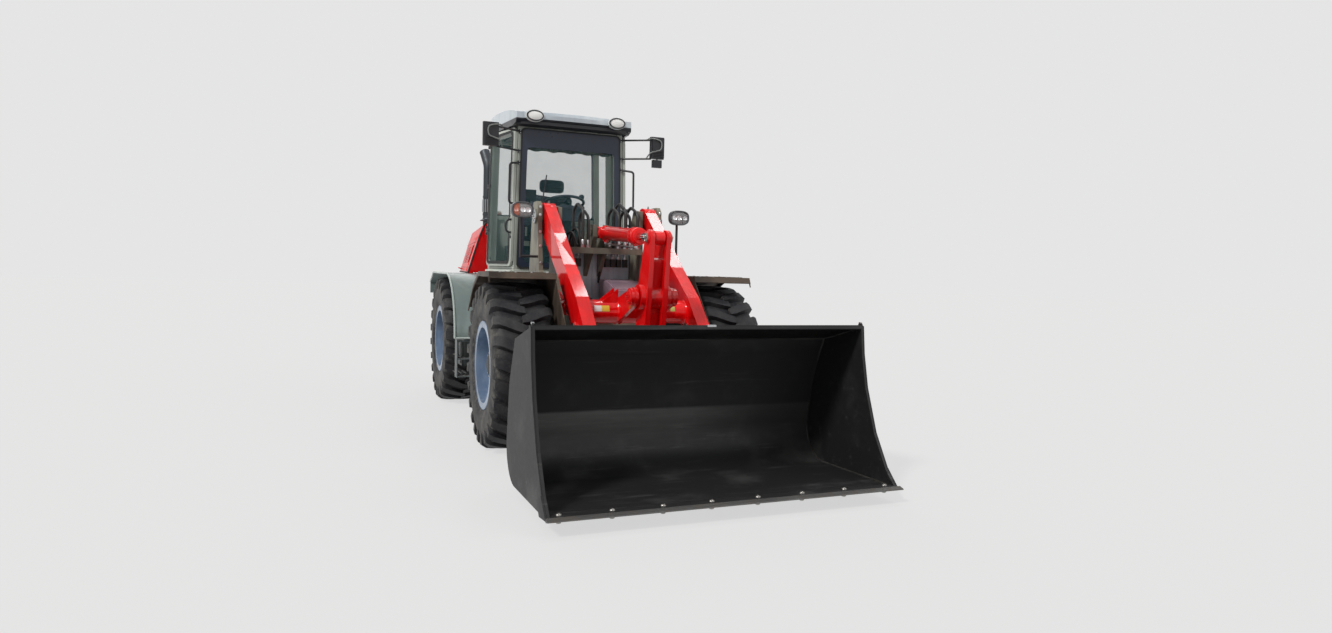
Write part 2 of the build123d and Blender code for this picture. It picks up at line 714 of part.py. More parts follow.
# ---------------------------------------------------------------- rear chassis
rail_x0, rail_x1 = 300.0, 340.0
rail_z0, rail_z1 = 780.0, 1060.0
nose_half = 200.0
nose_y = pivot_y + 200
beam_y = pivot_y + 505              # cross beam behind the steering cylinders' bases
beam_depth = 40.0
beam_half = 990.0
outrigger_z0, outrigger_z1 = 930.0, 985.0
frame_end_y = rear_y + 700
trunnion_radius = 70.0
floor_z0 = cab_floor_z - 55
cab_mount_x = 440.0
fender_inner = 600.0                # inner wall of the rear fenders

with BuildPart() as rear_chassis:
    for side in (-1, 1):
        block(span(side, rail_x0, rail_x1), (beam_y, frame_end_y), (rail_z0, rail_z1))
        for mount_y in (beam_y + 100, pivot_y + 950):
            block(span(side, rail_x1 - 1, cab_mount_x + 45), (mount_y - 40, mount_y + 40),
                  (rail_z1 - 60, rail_z1))
            disc_z((side * cab_mount_x, mount_y), 38, (rail_z1 - 1, floor_z0))
        for arm_y in (pivot_y + 640, rear_y + 420):
            block(span(side, rail_x1 - 1, fender_inner), (arm_y - 25, arm_y + 25), (980, 1030))
        # Ears of the steering cylinders' bases
        for updown in (-1, 1):
            z_range = sorted((steer_z + updown * 30.5, steer_z + updown * 50))
            block(span(side, steer_base[0] - 40, steer_base[0] + 40), (steer_base[1], beam_y + 1), z_range)
            disc_z((side * steer_base[0], steer_base[1]), 40, z_range)
        disc_z((side * steer_base[0], steer_base[1]), steer_pin_radius, (steer_z - 58, steer_z + 58))
    # Nose with the two tongues of the articulation
    block((-nose_half, nose_half), (nose_y, beam_y + 1), (lower_tongue_z - 60, rail_z1))
    block((-nose_half + 30, nose_half - 30), (nose_y + 30, beam_y + 2),
          (lower_tongue_z - 30, rail_z1 - 30), mode=Mode.SUBTRACT)
    for level_z in (lower_tongue_z, upper_tongue_z):
        z_range = (level_z - tongue_half, level_z + tongue_half)
        block((-tongue_radius, tongue_radius), (pivot_y, nose_y + 1), z_range)
        disc_z((0, pivot_y), tongue_radius, z_range)
        disc_z((0, pivot_y), pin_radius + running, (level_z - 40, level_z + 40), mode=Mode.SUBTRACT)
    # Cross beam, its outriggers, the axle's trunnion plates and the rear plate
    block((-rail_x1 - 100, rail_x1 + 100), (beam_y, beam_y + beam_depth), (rail_z0 - 40, rail_z1))
    block((-beam_half, beam_half), (beam_y, beam_y + beam_depth), (outrigger_z0, outrigger_z1))
    for end in (-1, 1):
        plate_y = sorted((rear_y + end * 262, rear_y + end * 300))
        block((-rail_x0 - 1, rail_x0 + 1), plate_y, (axle_z - 110, rail_z1))
        with BuildSketch(Plane.XZ.offset(-plate_y[0] + 1)) as bore:
            with Locations((0, axle_z)):
                Circle(trunnion_radius + running)
        extrude(bore.sketch, amount=-42, mode=Mode.SUBTRACT)
    block((-rail_x1, rail_x1), (frame_end_y - 30, frame_end_y), (620, rail_z1))
finish(rear_chassis, "rear_chassis")

# ---------------------------------------------------------------- steering cylinders
steer_barrel_radius, steer_rod_radius = 34.0, 19.0
steer_barrel_length = 560.0

for side_name, side in (("left", 1), ("right", -1)):
    base = (side * steer_base[0], steer_base[1], steer_z)
    eye = (side * steer_eye[0], steer_eye[1], steer_z)
    with BuildPart() as steer_barrel:
        rod(base, along(base, eye, 70), 26)
        rod(along(base, eye, 62), along(base, eye, steer_barrel_length), steer_barrel_radius)
        disc_z(base[:2], 40, (steer_z - 30, steer_z + 30))
        rod(along(base, eye, 90), along(base, eye, steer_barrel_length + 1),
            steer_rod_radius + running, mode=Mode.SUBTRACT)
        disc_z(base[:2], steer_pin_radius + running, (steer_z - 31, steer_z + 31), mode=Mode.SUBTRACT)
    finish(steer_barrel, f"steer_barrel_{side_name}")
    with BuildPart() as steer_rod:
        rod(along(base, eye, 370), eye, steer_rod_radius)
        disc_z(eye[:2], 32, (steer_z - 25, steer_z + 25))
    finish(steer_rod, f"steer_rod_{side_name}")

# ---------------------------------------------------------------- counterweight and engine
tail_y = rear_y + rear_overhang
tail_half = 800.0
tail_z0, tail_z1 = 560.0, 1330.0
tow_pin = (0, tail_y - 70)
tow_pin_radius = 20.0

# Hinge of the engine hood, on lugs at the counterweight's rear, (y, z)
hood_y1 = tail_y - 115               # leaves the tow pin a way out upward
hood_z0 = 1352.0
hood_hinge = (hood_y1 - 50, hood_z0 + 85)
hood_hinge_pin = 14.0
hinge_lug_radius = 32.0
hinge_lug_foot = ((hood_hinge[0] - 140, 1310), hinge_lug_radius)
hinge_lug_x = 555.0                 # inner face of the counterweight's lugs
hinge_lug = 18.0

with BuildPart() as counterweight:
    prism_xy([(-tail_half, frame_end_y + seat_gap), (tail_half, frame_end_y + seat_gap),
              (tail_half, tail_y - 260), (tail_half - 220, tail_y), (-tail_half + 220, tail_y),
              (-tail_half, tail_y - 260)], (tail_z0, tail_z1), corner=60)
    # Slanted underside, and the jaw that takes a tow bar on an upright pin
    prism_yz([(tail_y - 330, tail_z0 - 1), (tail_y + 1, tail_z0 - 1), (tail_y + 1, tail_z0 + 190)],
             (-tail_half - 1, tail_half + 1), mode=Mode.SUBTRACT)
    block((-90, 90), (tail_y - 150, tail_y + 1), (840, 920), mode=Mode.SUBTRACT)
    disc_z(tow_pin, tow_pin_radius + 10 * running, (780, 1331), mode=Mode.SUBTRACT)
    for side in (-1, 1):
        hull_yz([(hood_hinge, hinge_lug_radius), hinge_lug_foot],
                span(side, hinge_lug_x, hinge_lug_x + hinge_lug))
        disc_x(hood_hinge, hood_hinge_pin, span(side, hinge_lug_x, hinge_lug_x + 2 * hinge_lug + 25))
finish(counterweight, "counterweight")

with BuildPart() as engine_block:
    block((-rail_x1 + 20, rail_x1 - 20), (rear_y - 60, rear_y + 620),
          (rail_z1 + seat_gap, rail_z1 + 480), corner=30)
finish(engine_block, "engine_block")

# ---------------------------------------------------------------- rear fenders
rear_fender_outer = 1085.0
fender_radius = 590.0               # of the round front end
fender_top = (pivot_y + 640, 1341)
fender_centre = (fender_top[0], fender_top[1] - fender_radius)
fender_start = (fender_top[0] - fender_radius, fender_centre[1])
fender_back = (rear_y + 390, fender_top[1])
fender_end = (rear_y + 640, 1235)


with BuildPart() as rear_fenders:
    for side in (-1, 1):
        with BuildSketch(Plane.YZ.offset(side * fender_inner)) as shell:
            with BuildLine():
                RadiusArc(fender_start, fender_top, fender_radius)
                Polyline(fender_top, fender_back, fender_end,
                         (fender_end[0] - fender_plate, fender_end[1] - fender_plate),
                         (fender_back[0], fender_back[1] - fender_plate),
                         (fender_top[0], fender_top[1] - fender_plate))
                RadiusArc((fender_top[0], fender_top[1] - fender_plate),
                          (fender_start[0] + fender_plate, fender_start[1]),
                          -(fender_radius - fender_plate))
                Line((fender_start[0] + fender_plate, fender_start[1]), fender_start)
            make_face()
        extrude(shell.sketch, amount=side * (rear_fender_outer - fender_inner))
        with BuildSketch(Plane.YZ.offset(side * fender_inner)) as inner_wall:
            with BuildLine():
                RadiusArc(fender_start, fender_top, fender_radius)
                Polyline(fender_top, fender_back, fender_end, (fender_end[0], fender_start[1]),
                         fender_start)
            make_face()
        extrude(inner_wall.sketch, amount=side * fender_plate)
        block(span(side, fender_inner - 1, fender_inner + fender_plate + 1),
              (fender_start[0] - 10, rear_y + 700), (700, 900), mode=Mode.SUBTRACT)
        # Notch around the chassis's cross beam
        block(span(side, fender_inner - 1, fender_inner + fender_plate + 1),
              (beam_y - seat_gap, beam_y + beam_depth + seat_gap),
              (outrigger_z0 - seat_gap, outrigger_z1 + seat_gap), mode=Mode.SUBTRACT)
        # Flange at the rear edge, for the tail light
        block(span(side, 860, rear_fender_outer), (fender_end[0] - fender_plate, fender_end[0]),
              (1110, fender_end[1] - fender_plate + 1))
finish(rear_fenders, "rear_fenders")

# ---------------------------------------------------------------- steps and side tanks
tank_x0, tank_x1 = 640.0, 1000.0
tank_y0, tank_y1 = beam_y - 365, beam_y - seat_gap
step_x0, step_x1 = 690.0, 1060.0
step_y0 = fender_start[0] + 10

with BuildPart() as side_steps:
    for side in (-1, 1):
        block(span(side, tank_x0, tank_x1), (tank_y0, tank_y1), (480, 985), corner=30)
        for x0 in (step_x0, step_x1 - 8):
            block(span(side, x0, x0 + 8), (step_y0, tank_y0 + 40), (380, 735))
        for tread_z in (385, 550, 715):
            block(span(side, step_x0, step_x1), (step_y0, tank_y0 + 32), (tread_z, tread_z + 12))
finish(side_steps, "side_steps")

# ---------------------------------------------------------------- cab
cab_front_y = pivot_y + 75
cab_rear_y = pivot_y + 1045
post = 60.0                         # section of the cab's posts
a_foot = Vector(545, cab_front_y, cab_floor_z)          # front post, outer face
b_foot = Vector(660, pivot_y + 755, cab_floor_z)        # rear door post, outer face
c_foot = Vector(600, cab_rear_y, cab_floor_z)           # rear corner post, outer face
tumblehome = 32.0                   # how far the sides lean in up to the glass top
glass_rise = cab_glass_top_z - cab_floor_z

door_run = (b_foot - a_foot).normalized()
door_up = Vector(-tumblehome, 0, glass_rise).normalized()
door_out = door_run.cross(door_up).normalized()
door_up = door_out.cross(door_run)
door_length = (b_foot - a_foot).length


def mirrored(vector, side):
    """A left-hand vector, or its mirror image for the right-hand side."""
    return Vector(side * vector.X, vector.Y, vector.Z)


def door_point(side, u, v, n):
    """Point in door coordinates: u rearward from the front post, v up, n outward."""
    return mirrored(a_foot + door_run * u + door_up * v + door_out * n, side)


def door_plane(side, n):
    """Plane of a door, n outward from the posts, with u and v as its directions."""
    return Plane(origin=door_point(side, 0, 0, n), x_dir=mirrored(door_run, side),
                 z_dir=mirrored(door_out, side) * side)


def door_panel(side, u_range, v_range, n_range, corner=0, mode=Mode.ADD):
    """Panel in a door's plane, with rounded corners where corner is given."""
    with BuildSketch(door_plane(side, n_range[0])) as outline:
        with Locations(((u_range[0] + u_range[1]) / 2, (v_range[0] + v_range[1]) / 2)):
            if corner:
                RectangleRounded(u_range[1] - u_range[0], v_range[1] - v_range[0], corner)
            else:
                Rectangle(u_range[1] - u_range[0], v_range[1] - v_range[0])
    extrude(outline.sketch, amount=side * (n_range[1] - n_range[0]), mode=mode)


floor_outline = [
    (a_foot.X, a_foot.Y), (b_foot.X, b_foot.Y), (c_foot.X, c_foot.Y),
    (-c_foot.X, c_foot.Y), (-b_foot.X, b_foot.Y), (-a_foot.X, a_foot.Y),
]

with BuildPart() as cab_floor:
    prism_xy(floor_outline, (floor_z0, cab_floor_z))
finish(cab_floor, "cab_floor")

lean_in = tumblehome / glass_rise
c_foot_centre = (c_foot.X - post / 2, cab_rear_y - post / 2)
c_top_centre = (c_foot.X - post / 2 - tumblehome, cab_rear_y - post / 2)
rear_wall_top = 1930.0
post_foot = 2.0                     # the leaning posts start this far up, clear of the floor
glazing_bar, glazing_x = 26.0, 500.0
front_lean = glass_rise * door_up.Y / door_up.Z

with BuildPart() as cab_frame:
    for side in (-1, 1):
        # Front post, door post, roof rail and sill, in the door's plane
        door_panel(side, (0, post), (post_foot, glass_rise), (-post, 0))
        door_panel(side, (door_length - post, door_length), (post_foot, glass_rise), (-post, 0))
        door_panel(side, (post - 1, door_length - post + 1), (glass_rise - 50, glass_rise), (-post, 0))
        door_panel(side, (post - 1, door_length - post + 1), (post_foot, 22), (-post, 0))
        # Glazing bar that the windscreen rests on
        bar((side * glazing_x, cab_front_y + glazing_bar / 2, cab_floor_z + 20),
            (side * (glazing_x - tumblehome), cab_front_y + glazing_bar / 2 + front_lean,
             cab_glass_top_z - 1), glazing_bar, glazing_bar)
        # Rear corner post and the rail and sill that lead to it
        bar((side * c_foot_centre[0], c_foot_centre[1], cab_floor_z + post_foot),
            (side * c_top_centre[0], c_top_centre[1], cab_glass_top_z), post, post)
        for v in (glass_rise - 27, 300):
            bar(door_point(side, door_length - post / 2, v, -post / 2),
                (side * (c_foot_centre[0] - lean_in * v), c_foot_centre[1], cab_floor_z + v),
                46, post + 10, across=(0, 0, 1))
        # Side wall below the quarter glass
        side_wall = [door_point(side, door_length - 8, 0, -18), door_point(side, door_length - 8, 0, -10)]
        prism_xy([(side_wall[0].X, side_wall[0].Y), (side_wall[1].X, side_wall[1].Y),
                  (side * (c_foot.X - 10), cab_rear_y - 20), (side * (c_foot.X - 18), cab_rear_y - 20)],
                 (cab_floor_z + seat_gap, cab_floor_z + 300))
    for y, z, height in (
        (cab_front_y + 34, cab_glass_top_z - 25, 50),
        (cab_rear_y - post / 2, cab_glass_top_z - 25, 50),
        (cab_rear_y - post / 2, rear_wall_top, 40),
    ):
        bar((-540 + lean_in * (z - cab_floor_z), y, z), (540 - lean_in * (z - cab_floor_z), y, z),
            40, height, across=(0, 1, 0))
    # Front sill and rear wall
    block((-a_foot.X + 20, a_foot.X - 20), (cab_front_y + 14, cab_front_y + 54),
          (cab_floor_z + seat_gap, cab_floor_z + 50))
    block((-c_foot.X + 30, c_foot.X - 30), (cab_rear_y - 34, cab_rear_y - 26),
          (cab_floor_z + seat_gap, rear_wall_top))
finish(cab_frame, "cab_frame")

# ---------------------------------------------------------------- doors
hinge_u = door_length - 14
hinge_n = 26.0
hinge_radius, hinge_pin_radius = 13.0, 7.0
hinge_heights = (380, 820, 1240)    # v of each hinge's middle
knuckle = 26.0                      # height of each knuckle
door_u0, door_u1 = 6.0, door_length - 34
door_v0, door_v1 = 26.0, glass_rise - 8
door_border = 46.0
door_n0 = side_gap
door_n1 = door_n0 + 25

with BuildPart() as door_hinges:
    for side in (-1, 1):
        for v in hinge_heights:
            for v0 in (v - knuckle / 2 - 1 - knuckle, v + knuckle / 2 + 1):
                rod(door_point(side, hinge_u, v0, hinge_n), door_point(side, hinge_u, v0 + knuckle, hinge_n),
                    hinge_radius)
                door_panel(side, (hinge_u - 9, hinge_u + 9), (v0, v0 + knuckle), (seat_gap, hinge_n))
            rod(door_point(side, hinge_u, v - knuckle * 1.4, hinge_n),
                door_point(side, hinge_u, v + knuckle * 1.4, hinge_n), hinge_pin_radius)
finish(door_hinges, "door_hinges")

for side_name, side in (("left", 1), ("right", -1)):
    with BuildPart() as door:
        door_panel(side, (door_u0, door_u1), (door_v0, door_v1), (door_n0, door_n1), corner=50)
        door_panel(side, (door_u0 + door_border, door_u1 - door_border),
                   (door_v0 + door_border, door_v1 - door_border),
                   (door_n0 - 1, door_n1 + 1), corner=40, mode=Mode.SUBTRACT)
        for v in hinge_heights:
            door_panel(side, (door_u1 - 1, hinge_u), (v - knuckle / 2, v + knuckle / 2),
                       (hinge_n - 6, hinge_n + 4))
            rod(door_point(side, hinge_u, v - knuckle / 2, hinge_n),
                door_point(side, hinge_u, v + knuckle / 2, hinge_n), hinge_radius)
            rod(door_point(side, hinge_u, v - knuckle, hinge_n),
                door_point(side, hinge_u, v + knuckle, hinge_n), hinge_pin_radius + running,
                mode=Mode.SUBTRACT)
        # Lever handle on the front stile
        door_panel(side, (door_u0 + 10, door_u0 + 34), (330, 480), (door_n1 - 1, door_n1 + 22), corner=8)
    finish(door, f"door_{side_name}")

    with BuildPart() as door_glass:
        door_panel(side, (door_u0 + 40, door_u1 - 24), (door_v0 + 24, door_v1 - 24),
                   (door_n1 + seat_gap, door_n1 + 6), corner=50)
    finish(door_glass, f"door_glass_{side_name}")

# ---------------------------------------------------------------- fixed glass
pane_half = a_foot.X - 30           # the windscreen leaves the outer part of the posts bare

with BuildPart() as fixed_glass:
    # Windscreen in front of the posts, leaning back with them
    windscreen = Plane(origin=(0, cab_front_y - seat_gap, cab_floor_z), x_dir=(1, 0, 0),
                       z_dir=(0, -1, door_up.Y / door_up.Z))
    with BuildSketch(windscreen) as front_pane:
        with BuildLine():
            Polyline((-pane_half, 15), (pane_half, 15),
                     (pane_half - tumblehome, glass_rise - 15),
                     (-pane_half + tumblehome, glass_rise - 15), close=True)
        make_face()
        fillet(front_pane.vertices(), 40)
    extrude(front_pane.sketch, amount=7)
    # Rear window behind the rear posts
    prism_xz([(-c_foot.X + 25, rear_wall_top - 15), (c_foot.X - 25, rear_wall_top - 15),
              (c_foot.X - 15 - tumblehome, cab_glass_top_z - 15),
              (-c_foot.X + 15 + tumblehome, cab_glass_top_z - 15)],
             (cab_rear_y + seat_gap, cab_rear_y + 6), corner=30)
    # Quarter panes between the door post and the rear corner post
    for side in (-1, 1):
        start = mirrored(b_foot, side)
        end = mirrored(c_foot, side)
        run = (end - start).normalized()
        upward = mirrored(Vector(-tumblehome, 0, glass_rise).normalized(), side)
        outward = run.cross(upward).normalized()
        quarter = Plane(origin=start, x_dir=run, z_dir=outward)
        length = (end - start).length
        with BuildSketch(quarter.offset(side * seat_gap)) as pane:
            with Locations((length / 2 + 12, glass_rise / 2 + 140)):
                RectangleRounded(length - 30, glass_rise - 330, 30)
        extrude(pane.sketch, amount=side * 6)
finish(fixed_glass, "fixed_glass")

# ---------------------------------------------------------------- cab roof
roof_z0 = cab_glass_top_z + 1       # the leaning posts' tops stand 0.7 above the glass
roof_front_y = pivot_y - 45
roof_half_front, roof_half_rear = 560.0, 640.0

with BuildPart() as cab_roof:
    with BuildSketch(Plane.YZ.offset(-roof_half_rear)) as roof_side:
        with BuildLine():
            Polyline((roof_front_y + 110, roof_z0), (cab_rear_y + 40, roof_z0),
                     (cab_rear_y + 60, roof_z0 + 30), (cab_rear_y + 60, roof_top_z - 75))
            ThreePointArc((cab_rear_y + 60, roof_top_z - 75), (pivot_y + 500, roof_top_z),
                          (roof_front_y, roof_top_z - 60))
            Polyline((roof_front_y, roof_top_z - 60), (roof_front_y, roof_z0 + 45),
                     (roof_front_y + 20, roof_z0 + 20), (roof_front_y + 110, roof_z0))
        make_face()
    extrude(roof_side.sketch, amount=2 * roof_half_rear)
    prism_xy([(-roof_half_front, roof_front_y - 40), (roof_half_front, roof_front_y - 40),
              (roof_half_rear, pivot_y + 720), (roof_half_rear - 30, cab_rear_y + 80),
              (-roof_half_rear + 30, cab_rear_y + 80), (-roof_half_rear, pivot_y + 720)],
             (roof_z0 - 10, roof_top_z + 10), corner=70, mode=Mode.INTERSECT)
    # Pocket over the driver's head
    block((-430, 430), (cab_front_y + 90, cab_rear_y - 80), (roof_z0 - 1, roof_z0 + 60),
          mode=Mode.SUBTRACT)
finish(cab_roof, "cab_roof")

# ---------------------------------------------------------------- inside the cab
seat_y = pivot_y + 620
wheel_centre = (0, cab_front_y + 240, 2060)

with BuildPart() as seat_base:
    block((-170, 170), (seat_y - 160, seat_y + 200), (cab_floor_z + seat_gap, 1640), corner=30)
    block((-220, 220), (seat_y - 200, seat_y + 220), (1639, 1740), corner=40)
    block((-235, 235), (seat_y + 235, seat_y + 262), (1700, 2120), corner=10)
    block((-100, 100), (seat_y + 200, seat_y + 250), (1660, 1730))
    # Armrest console with the lift lever on the right
    block((-400, -300), (seat_y - 260, seat_y + 220), (1830, 1900), corner=20)
    block((-360, -219), (seat_y + 60, seat_y + 120), (1690, 1738))
    block((-360, -300), (seat_y + 60, seat_y + 120), (1690, 1832))
    rod((-350, seat_y - 210, 1890), (-350, seat_y - 225, 2040), 11)
    disc_z((-350, seat_y - 225), 24, (2030, 2090))
finish(seat_base, "seat_base")

with BuildPart() as seat_cushions:
    block((-240, 240), (seat_y - 250, seat_y + 205), (1740 + seat_gap, 1850), corner=60)
    block((-235, 235), (seat_y + 110, seat_y + 235 - seat_gap), (1850 + seat_gap, 2190), corner=45)
    block((-140, 140), (seat_y + 120, seat_y + 225), (2190 + seat_gap, 2345), corner=40)
finish(seat_cushions, "seat_cushions")

with BuildPart() as steering_column:
    block((-130, 130), (cab_front_y + 70, cab_front_y + 200), (cab_floor_z + seat_gap, 1500), corner=30)
    bar((0, cab_front_y + 130, 1480), (0, wheel_centre[1] - 20, wheel_centre[2] - 60), 110, 90)
    column_axis = Vector(0, 180, 560).normalized()
    wheel_plane = Plane(origin=wheel_centre, x_dir=(1, 0, 0), z_dir=column_axis)
    rod(Vector(*wheel_centre) - column_axis * 90, Vector(*wheel_centre) + column_axis * 12, 38)
    with BuildSketch(Plane(origin=Vector(*wheel_centre) + wheel_plane.x_dir * 195,
                           x_dir=wheel_plane.x_dir, z_dir=wheel_plane.y_dir)) as rim_section_face:
        Circle(14)
    revolve(rim_section_face.sketch, axis=Axis(wheel_centre, column_axis))
    for spoke in (0, 120, 240):
        direction = (wheel_plane.x_dir * sin(radians(spoke)) - wheel_plane.y_dir * cos(radians(spoke)))
        rod(wheel_centre, Vector(*wheel_centre) + direction * 190, 10)
    # Instrument pod in front of the wheel
    block((-150, 150), (cab_front_y + 60, cab_front_y + 130), (1880, 2010), corner=20)
    bar((0, cab_front_y + 100, 1900), (0, cab_front_y + 170, 1700), 80, 50)
finish(steering_column, "steering_column")

# ---------------------------------------------------------------- mirrors, rails and lights
mirror_y = pivot_y - 105
mirror_x = 810.0

foot_plate = 12.0                   # thickness of the feet on the cab's front posts


def post_foot_plate(side, v):
    """Foot on the front face of a front post, and the point where its rod starts."""
    door_panel(side, (-foot_plate - seat_gap, -seat_gap), (v - 18, v + 18), (-26, -2))
    return door_point(side, 2 - foot_plate, v, -14)


with BuildPart() as mirrors:
    for side in (-1, 1):
        block(span(side, mirror_x - 72, mirror_x + 72), (mirror_y - 28, mirror_y + 28), (2510, 2720), corner=20)
        for v in (1290, 1110):
            foot = post_foot_plate(side, v)
            rod(foot, (side * (mirror_x - 60), mirror_y, foot.Z), 9)
finish(mirrors, "mirrors")

with BuildPart() as grab_rails:
    for side in (-1, 1):
        low, high = (post_foot_plate(side, v) for v in (600, 1000))
        pipe([low, (side * 615, cab_front_y - 80, low.Z + 20),
              (side * 610, cab_front_y - 80, high.Z - 20), high], 30, 10)
finish(grab_rails, "grab_rails")

roof_light_z = roof_z0 + 80

with BuildPart() as work_lights:
    for x in (-400, 400):
        with BuildSketch(Plane.XZ.offset(-(roof_front_y - 50))) as lens:
            with Locations((x, roof_light_z)):
                Ellipse(78, 48)
        with BuildSketch(Plane.XZ.offset(-(roof_front_y - seat_gap))) as lens_back:
            with Locations((x, roof_light_z)):
                Ellipse(60, 34)
        loft([lens.sketch, lens_back.sketch])
    for side in (-1, 1):
        block(span(side, 880, 1060), (fender_end[0] + seat_gap, fender_end[0] + 34), (1120, 1200), corner=10)
finish(work_lights, "work_lights")

# ---------------------------------------------------------------- engine hood
hood_y0 = cab_rear_y + 22
hood_wall = 5.0
hood_lug_x = hinge_lug_x + hinge_lug + side_gap
# Exhaust and air intake, which pass through the hood: (x, y) and radius
exhaust_x, exhaust_y, exhaust_radius = -500.0, rear_y + 390, 55.0
intake_x, intake_y, intake_radius = -380.0, rear_y + 690, 50.0
# Half section of the hood at its front: (x, z), and how much narrower its rear end is
hood_section = [(805, hood_z0), (690, 1730), (640, 1860), (560, 1915), (0, 1945)]
hood_taper = 0.84
hood_drop = 55.0                    # the rear end is this much lower


def hood_outline(scale, drop, inset):
    """Hood section, narrowed by scale, lowered by drop and inset by the wall."""
    half = []
    for x, z in hood_section:
        lower = drop * (z - hood_z0) / (hood_section[-1][1] - hood_z0)
        half.append((max(x * scale - inset, 0), z - lower - inset))
    return half + [(-x, z) for x, z in reversed(half[:-1])]


with BuildPart() as engine_hood:
    with BuildSketch(Plane.XZ.offset(-hood_y0)) as hood_front:
        with BuildLine():
            Polyline(*hood_outline(1, 0, 0), close=True)
        make_face()
    with BuildSketch(Plane.XZ.offset(-hood_y1)) as hood_back:
        with BuildLine():
            Polyline(*hood_outline(hood_taper, hood_drop, 0), close=True)
        make_face()
    loft([hood_front.sketch, hood_back.sketch], ruled=True)
    with BuildSketch(Plane.XZ.offset(-(hood_y0 + hood_wall))) as cavity_front:
        with BuildLine():
            Polyline(*hood_outline(1, 0, hood_wall), close=True)
        make_face()
    with BuildSketch(Plane.XZ.offset(-(hood_y1 - hood_wall))) as cavity_back:
        with BuildLine():
            Polyline(*hood_outline(hood_taper, hood_drop, hood_wall), close=True)
        make_face()
    loft([cavity_front.sketch, cavity_back.sketch], ruled=True, mode=Mode.SUBTRACT)
    # Grille opening in the rear wall, with its slats
    block((-380, 380), (hood_y1 - 20, hood_y1 + 20), (1430, 1780), mode=Mode.SUBTRACT)
    for slat in range(7):
        slat_z = 1455 + slat * 50
        bar((-385, hood_y1 - hood_wall, slat_z), (385, hood_y1 - hood_wall, slat_z), 24, 5,
            across=(0, 1, -0.5))
    for centre, radius in (((exhaust_x, exhaust_y), exhaust_radius), ((intake_x, intake_y), intake_radius)):
        disc_z(centre, radius + seat_gap, (1800, 1960), mode=Mode.SUBTRACT)
    for side in (-1, 1):
        # Hinge lug on the rear wall, and the rest pad over the rear fender
        hull_yz([(hood_hinge, hinge_lug_radius), ((hood_y1 - hinge_lug_radius, hood_hinge[1]), hinge_lug_radius)],
                span(side, hood_lug_x, hood_lug_x + hinge_lug))
        disc_x(hood_hinge, hood_hinge_pin + running, span(side, hood_lug_x - 1, hood_lug_x + hinge_lug + 1),
               mode=Mode.SUBTRACT)
        block(span(side, 760, 802), (hood_y0, hood_y0 + 60), (fender_top[1] + seat_gap, hood_z0 + 8))
finish(engine_hood, "engine_hood")

# ---------------------------------------------------------------- exhaust and air intake
exhaust_route = [(exhaust_x, exhaust_y, 1830), (exhaust_x, exhaust_y, 2540),
                 (exhaust_x - 30, exhaust_y + 90, 2700)]

with BuildPart() as exhaust_stack:
    pipe(exhaust_route, 160, exhaust_radius)
    # Open mouth at the top
    rod(along(exhaust_route[2], exhaust_route[1], 70), along(exhaust_route[2], exhaust_route[1], -1),
        exhaust_radius - 4, mode=Mode.SUBTRACT)
finish(exhaust_stack, "exhaust_stack")

with BuildPart() as air_intake:
    disc_z((intake_x, intake_y), intake_radius, (1830, 1985))
    disc_z((intake_x, intake_y), 92, (1980, 2050))
finish(air_intake, "air_intake")
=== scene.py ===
import json
import math

import bmesh
import bpy
from mathutils import Matrix, Vector


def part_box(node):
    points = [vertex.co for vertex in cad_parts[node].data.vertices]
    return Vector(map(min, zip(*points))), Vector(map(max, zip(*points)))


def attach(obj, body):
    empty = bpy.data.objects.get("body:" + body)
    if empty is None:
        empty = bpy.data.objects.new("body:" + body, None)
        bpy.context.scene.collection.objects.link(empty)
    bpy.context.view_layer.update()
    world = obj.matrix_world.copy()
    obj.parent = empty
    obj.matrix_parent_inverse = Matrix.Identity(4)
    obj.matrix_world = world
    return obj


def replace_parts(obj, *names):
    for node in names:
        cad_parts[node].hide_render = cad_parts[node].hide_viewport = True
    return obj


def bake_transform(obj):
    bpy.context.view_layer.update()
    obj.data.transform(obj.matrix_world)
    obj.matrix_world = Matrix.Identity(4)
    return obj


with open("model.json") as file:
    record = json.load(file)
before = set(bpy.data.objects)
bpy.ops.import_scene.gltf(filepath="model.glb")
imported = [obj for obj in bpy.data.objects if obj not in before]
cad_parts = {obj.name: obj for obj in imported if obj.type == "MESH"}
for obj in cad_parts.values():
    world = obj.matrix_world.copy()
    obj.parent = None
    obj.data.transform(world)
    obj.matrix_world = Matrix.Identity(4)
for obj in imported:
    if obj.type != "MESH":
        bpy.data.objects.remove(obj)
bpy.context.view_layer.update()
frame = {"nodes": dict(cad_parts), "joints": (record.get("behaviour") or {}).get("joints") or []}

scene = bpy.context.scene


def at(x, y, z):
    """Point or direction with the given parts."""
    return Vector((x, y, z))


def centre(node):
    """Middle of a CAD node's box."""
    low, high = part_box(node)
    return (low + high) / 2


def mirrored(point, side):
    """The point itself for side 1, and its image in the machine's middle plane for side -1."""
    return at(side * point.x, point.y, point.z)


def in_scene(name, data):
    """New object with the given data, linked to the scene."""
    made = bpy.data.objects.new(name, data)
    scene.collection.objects.link(made)
    return made


up, rearward = at(0, 0, 1), at(0, 1, 0)
down, ahead = -up, -rearward
sides = (-1, 1)
outboard = {side: at(side, 0, 0) for side in sides}
corners_of_machine = ("front_left", "front_right", "rear_left", "rear_right")

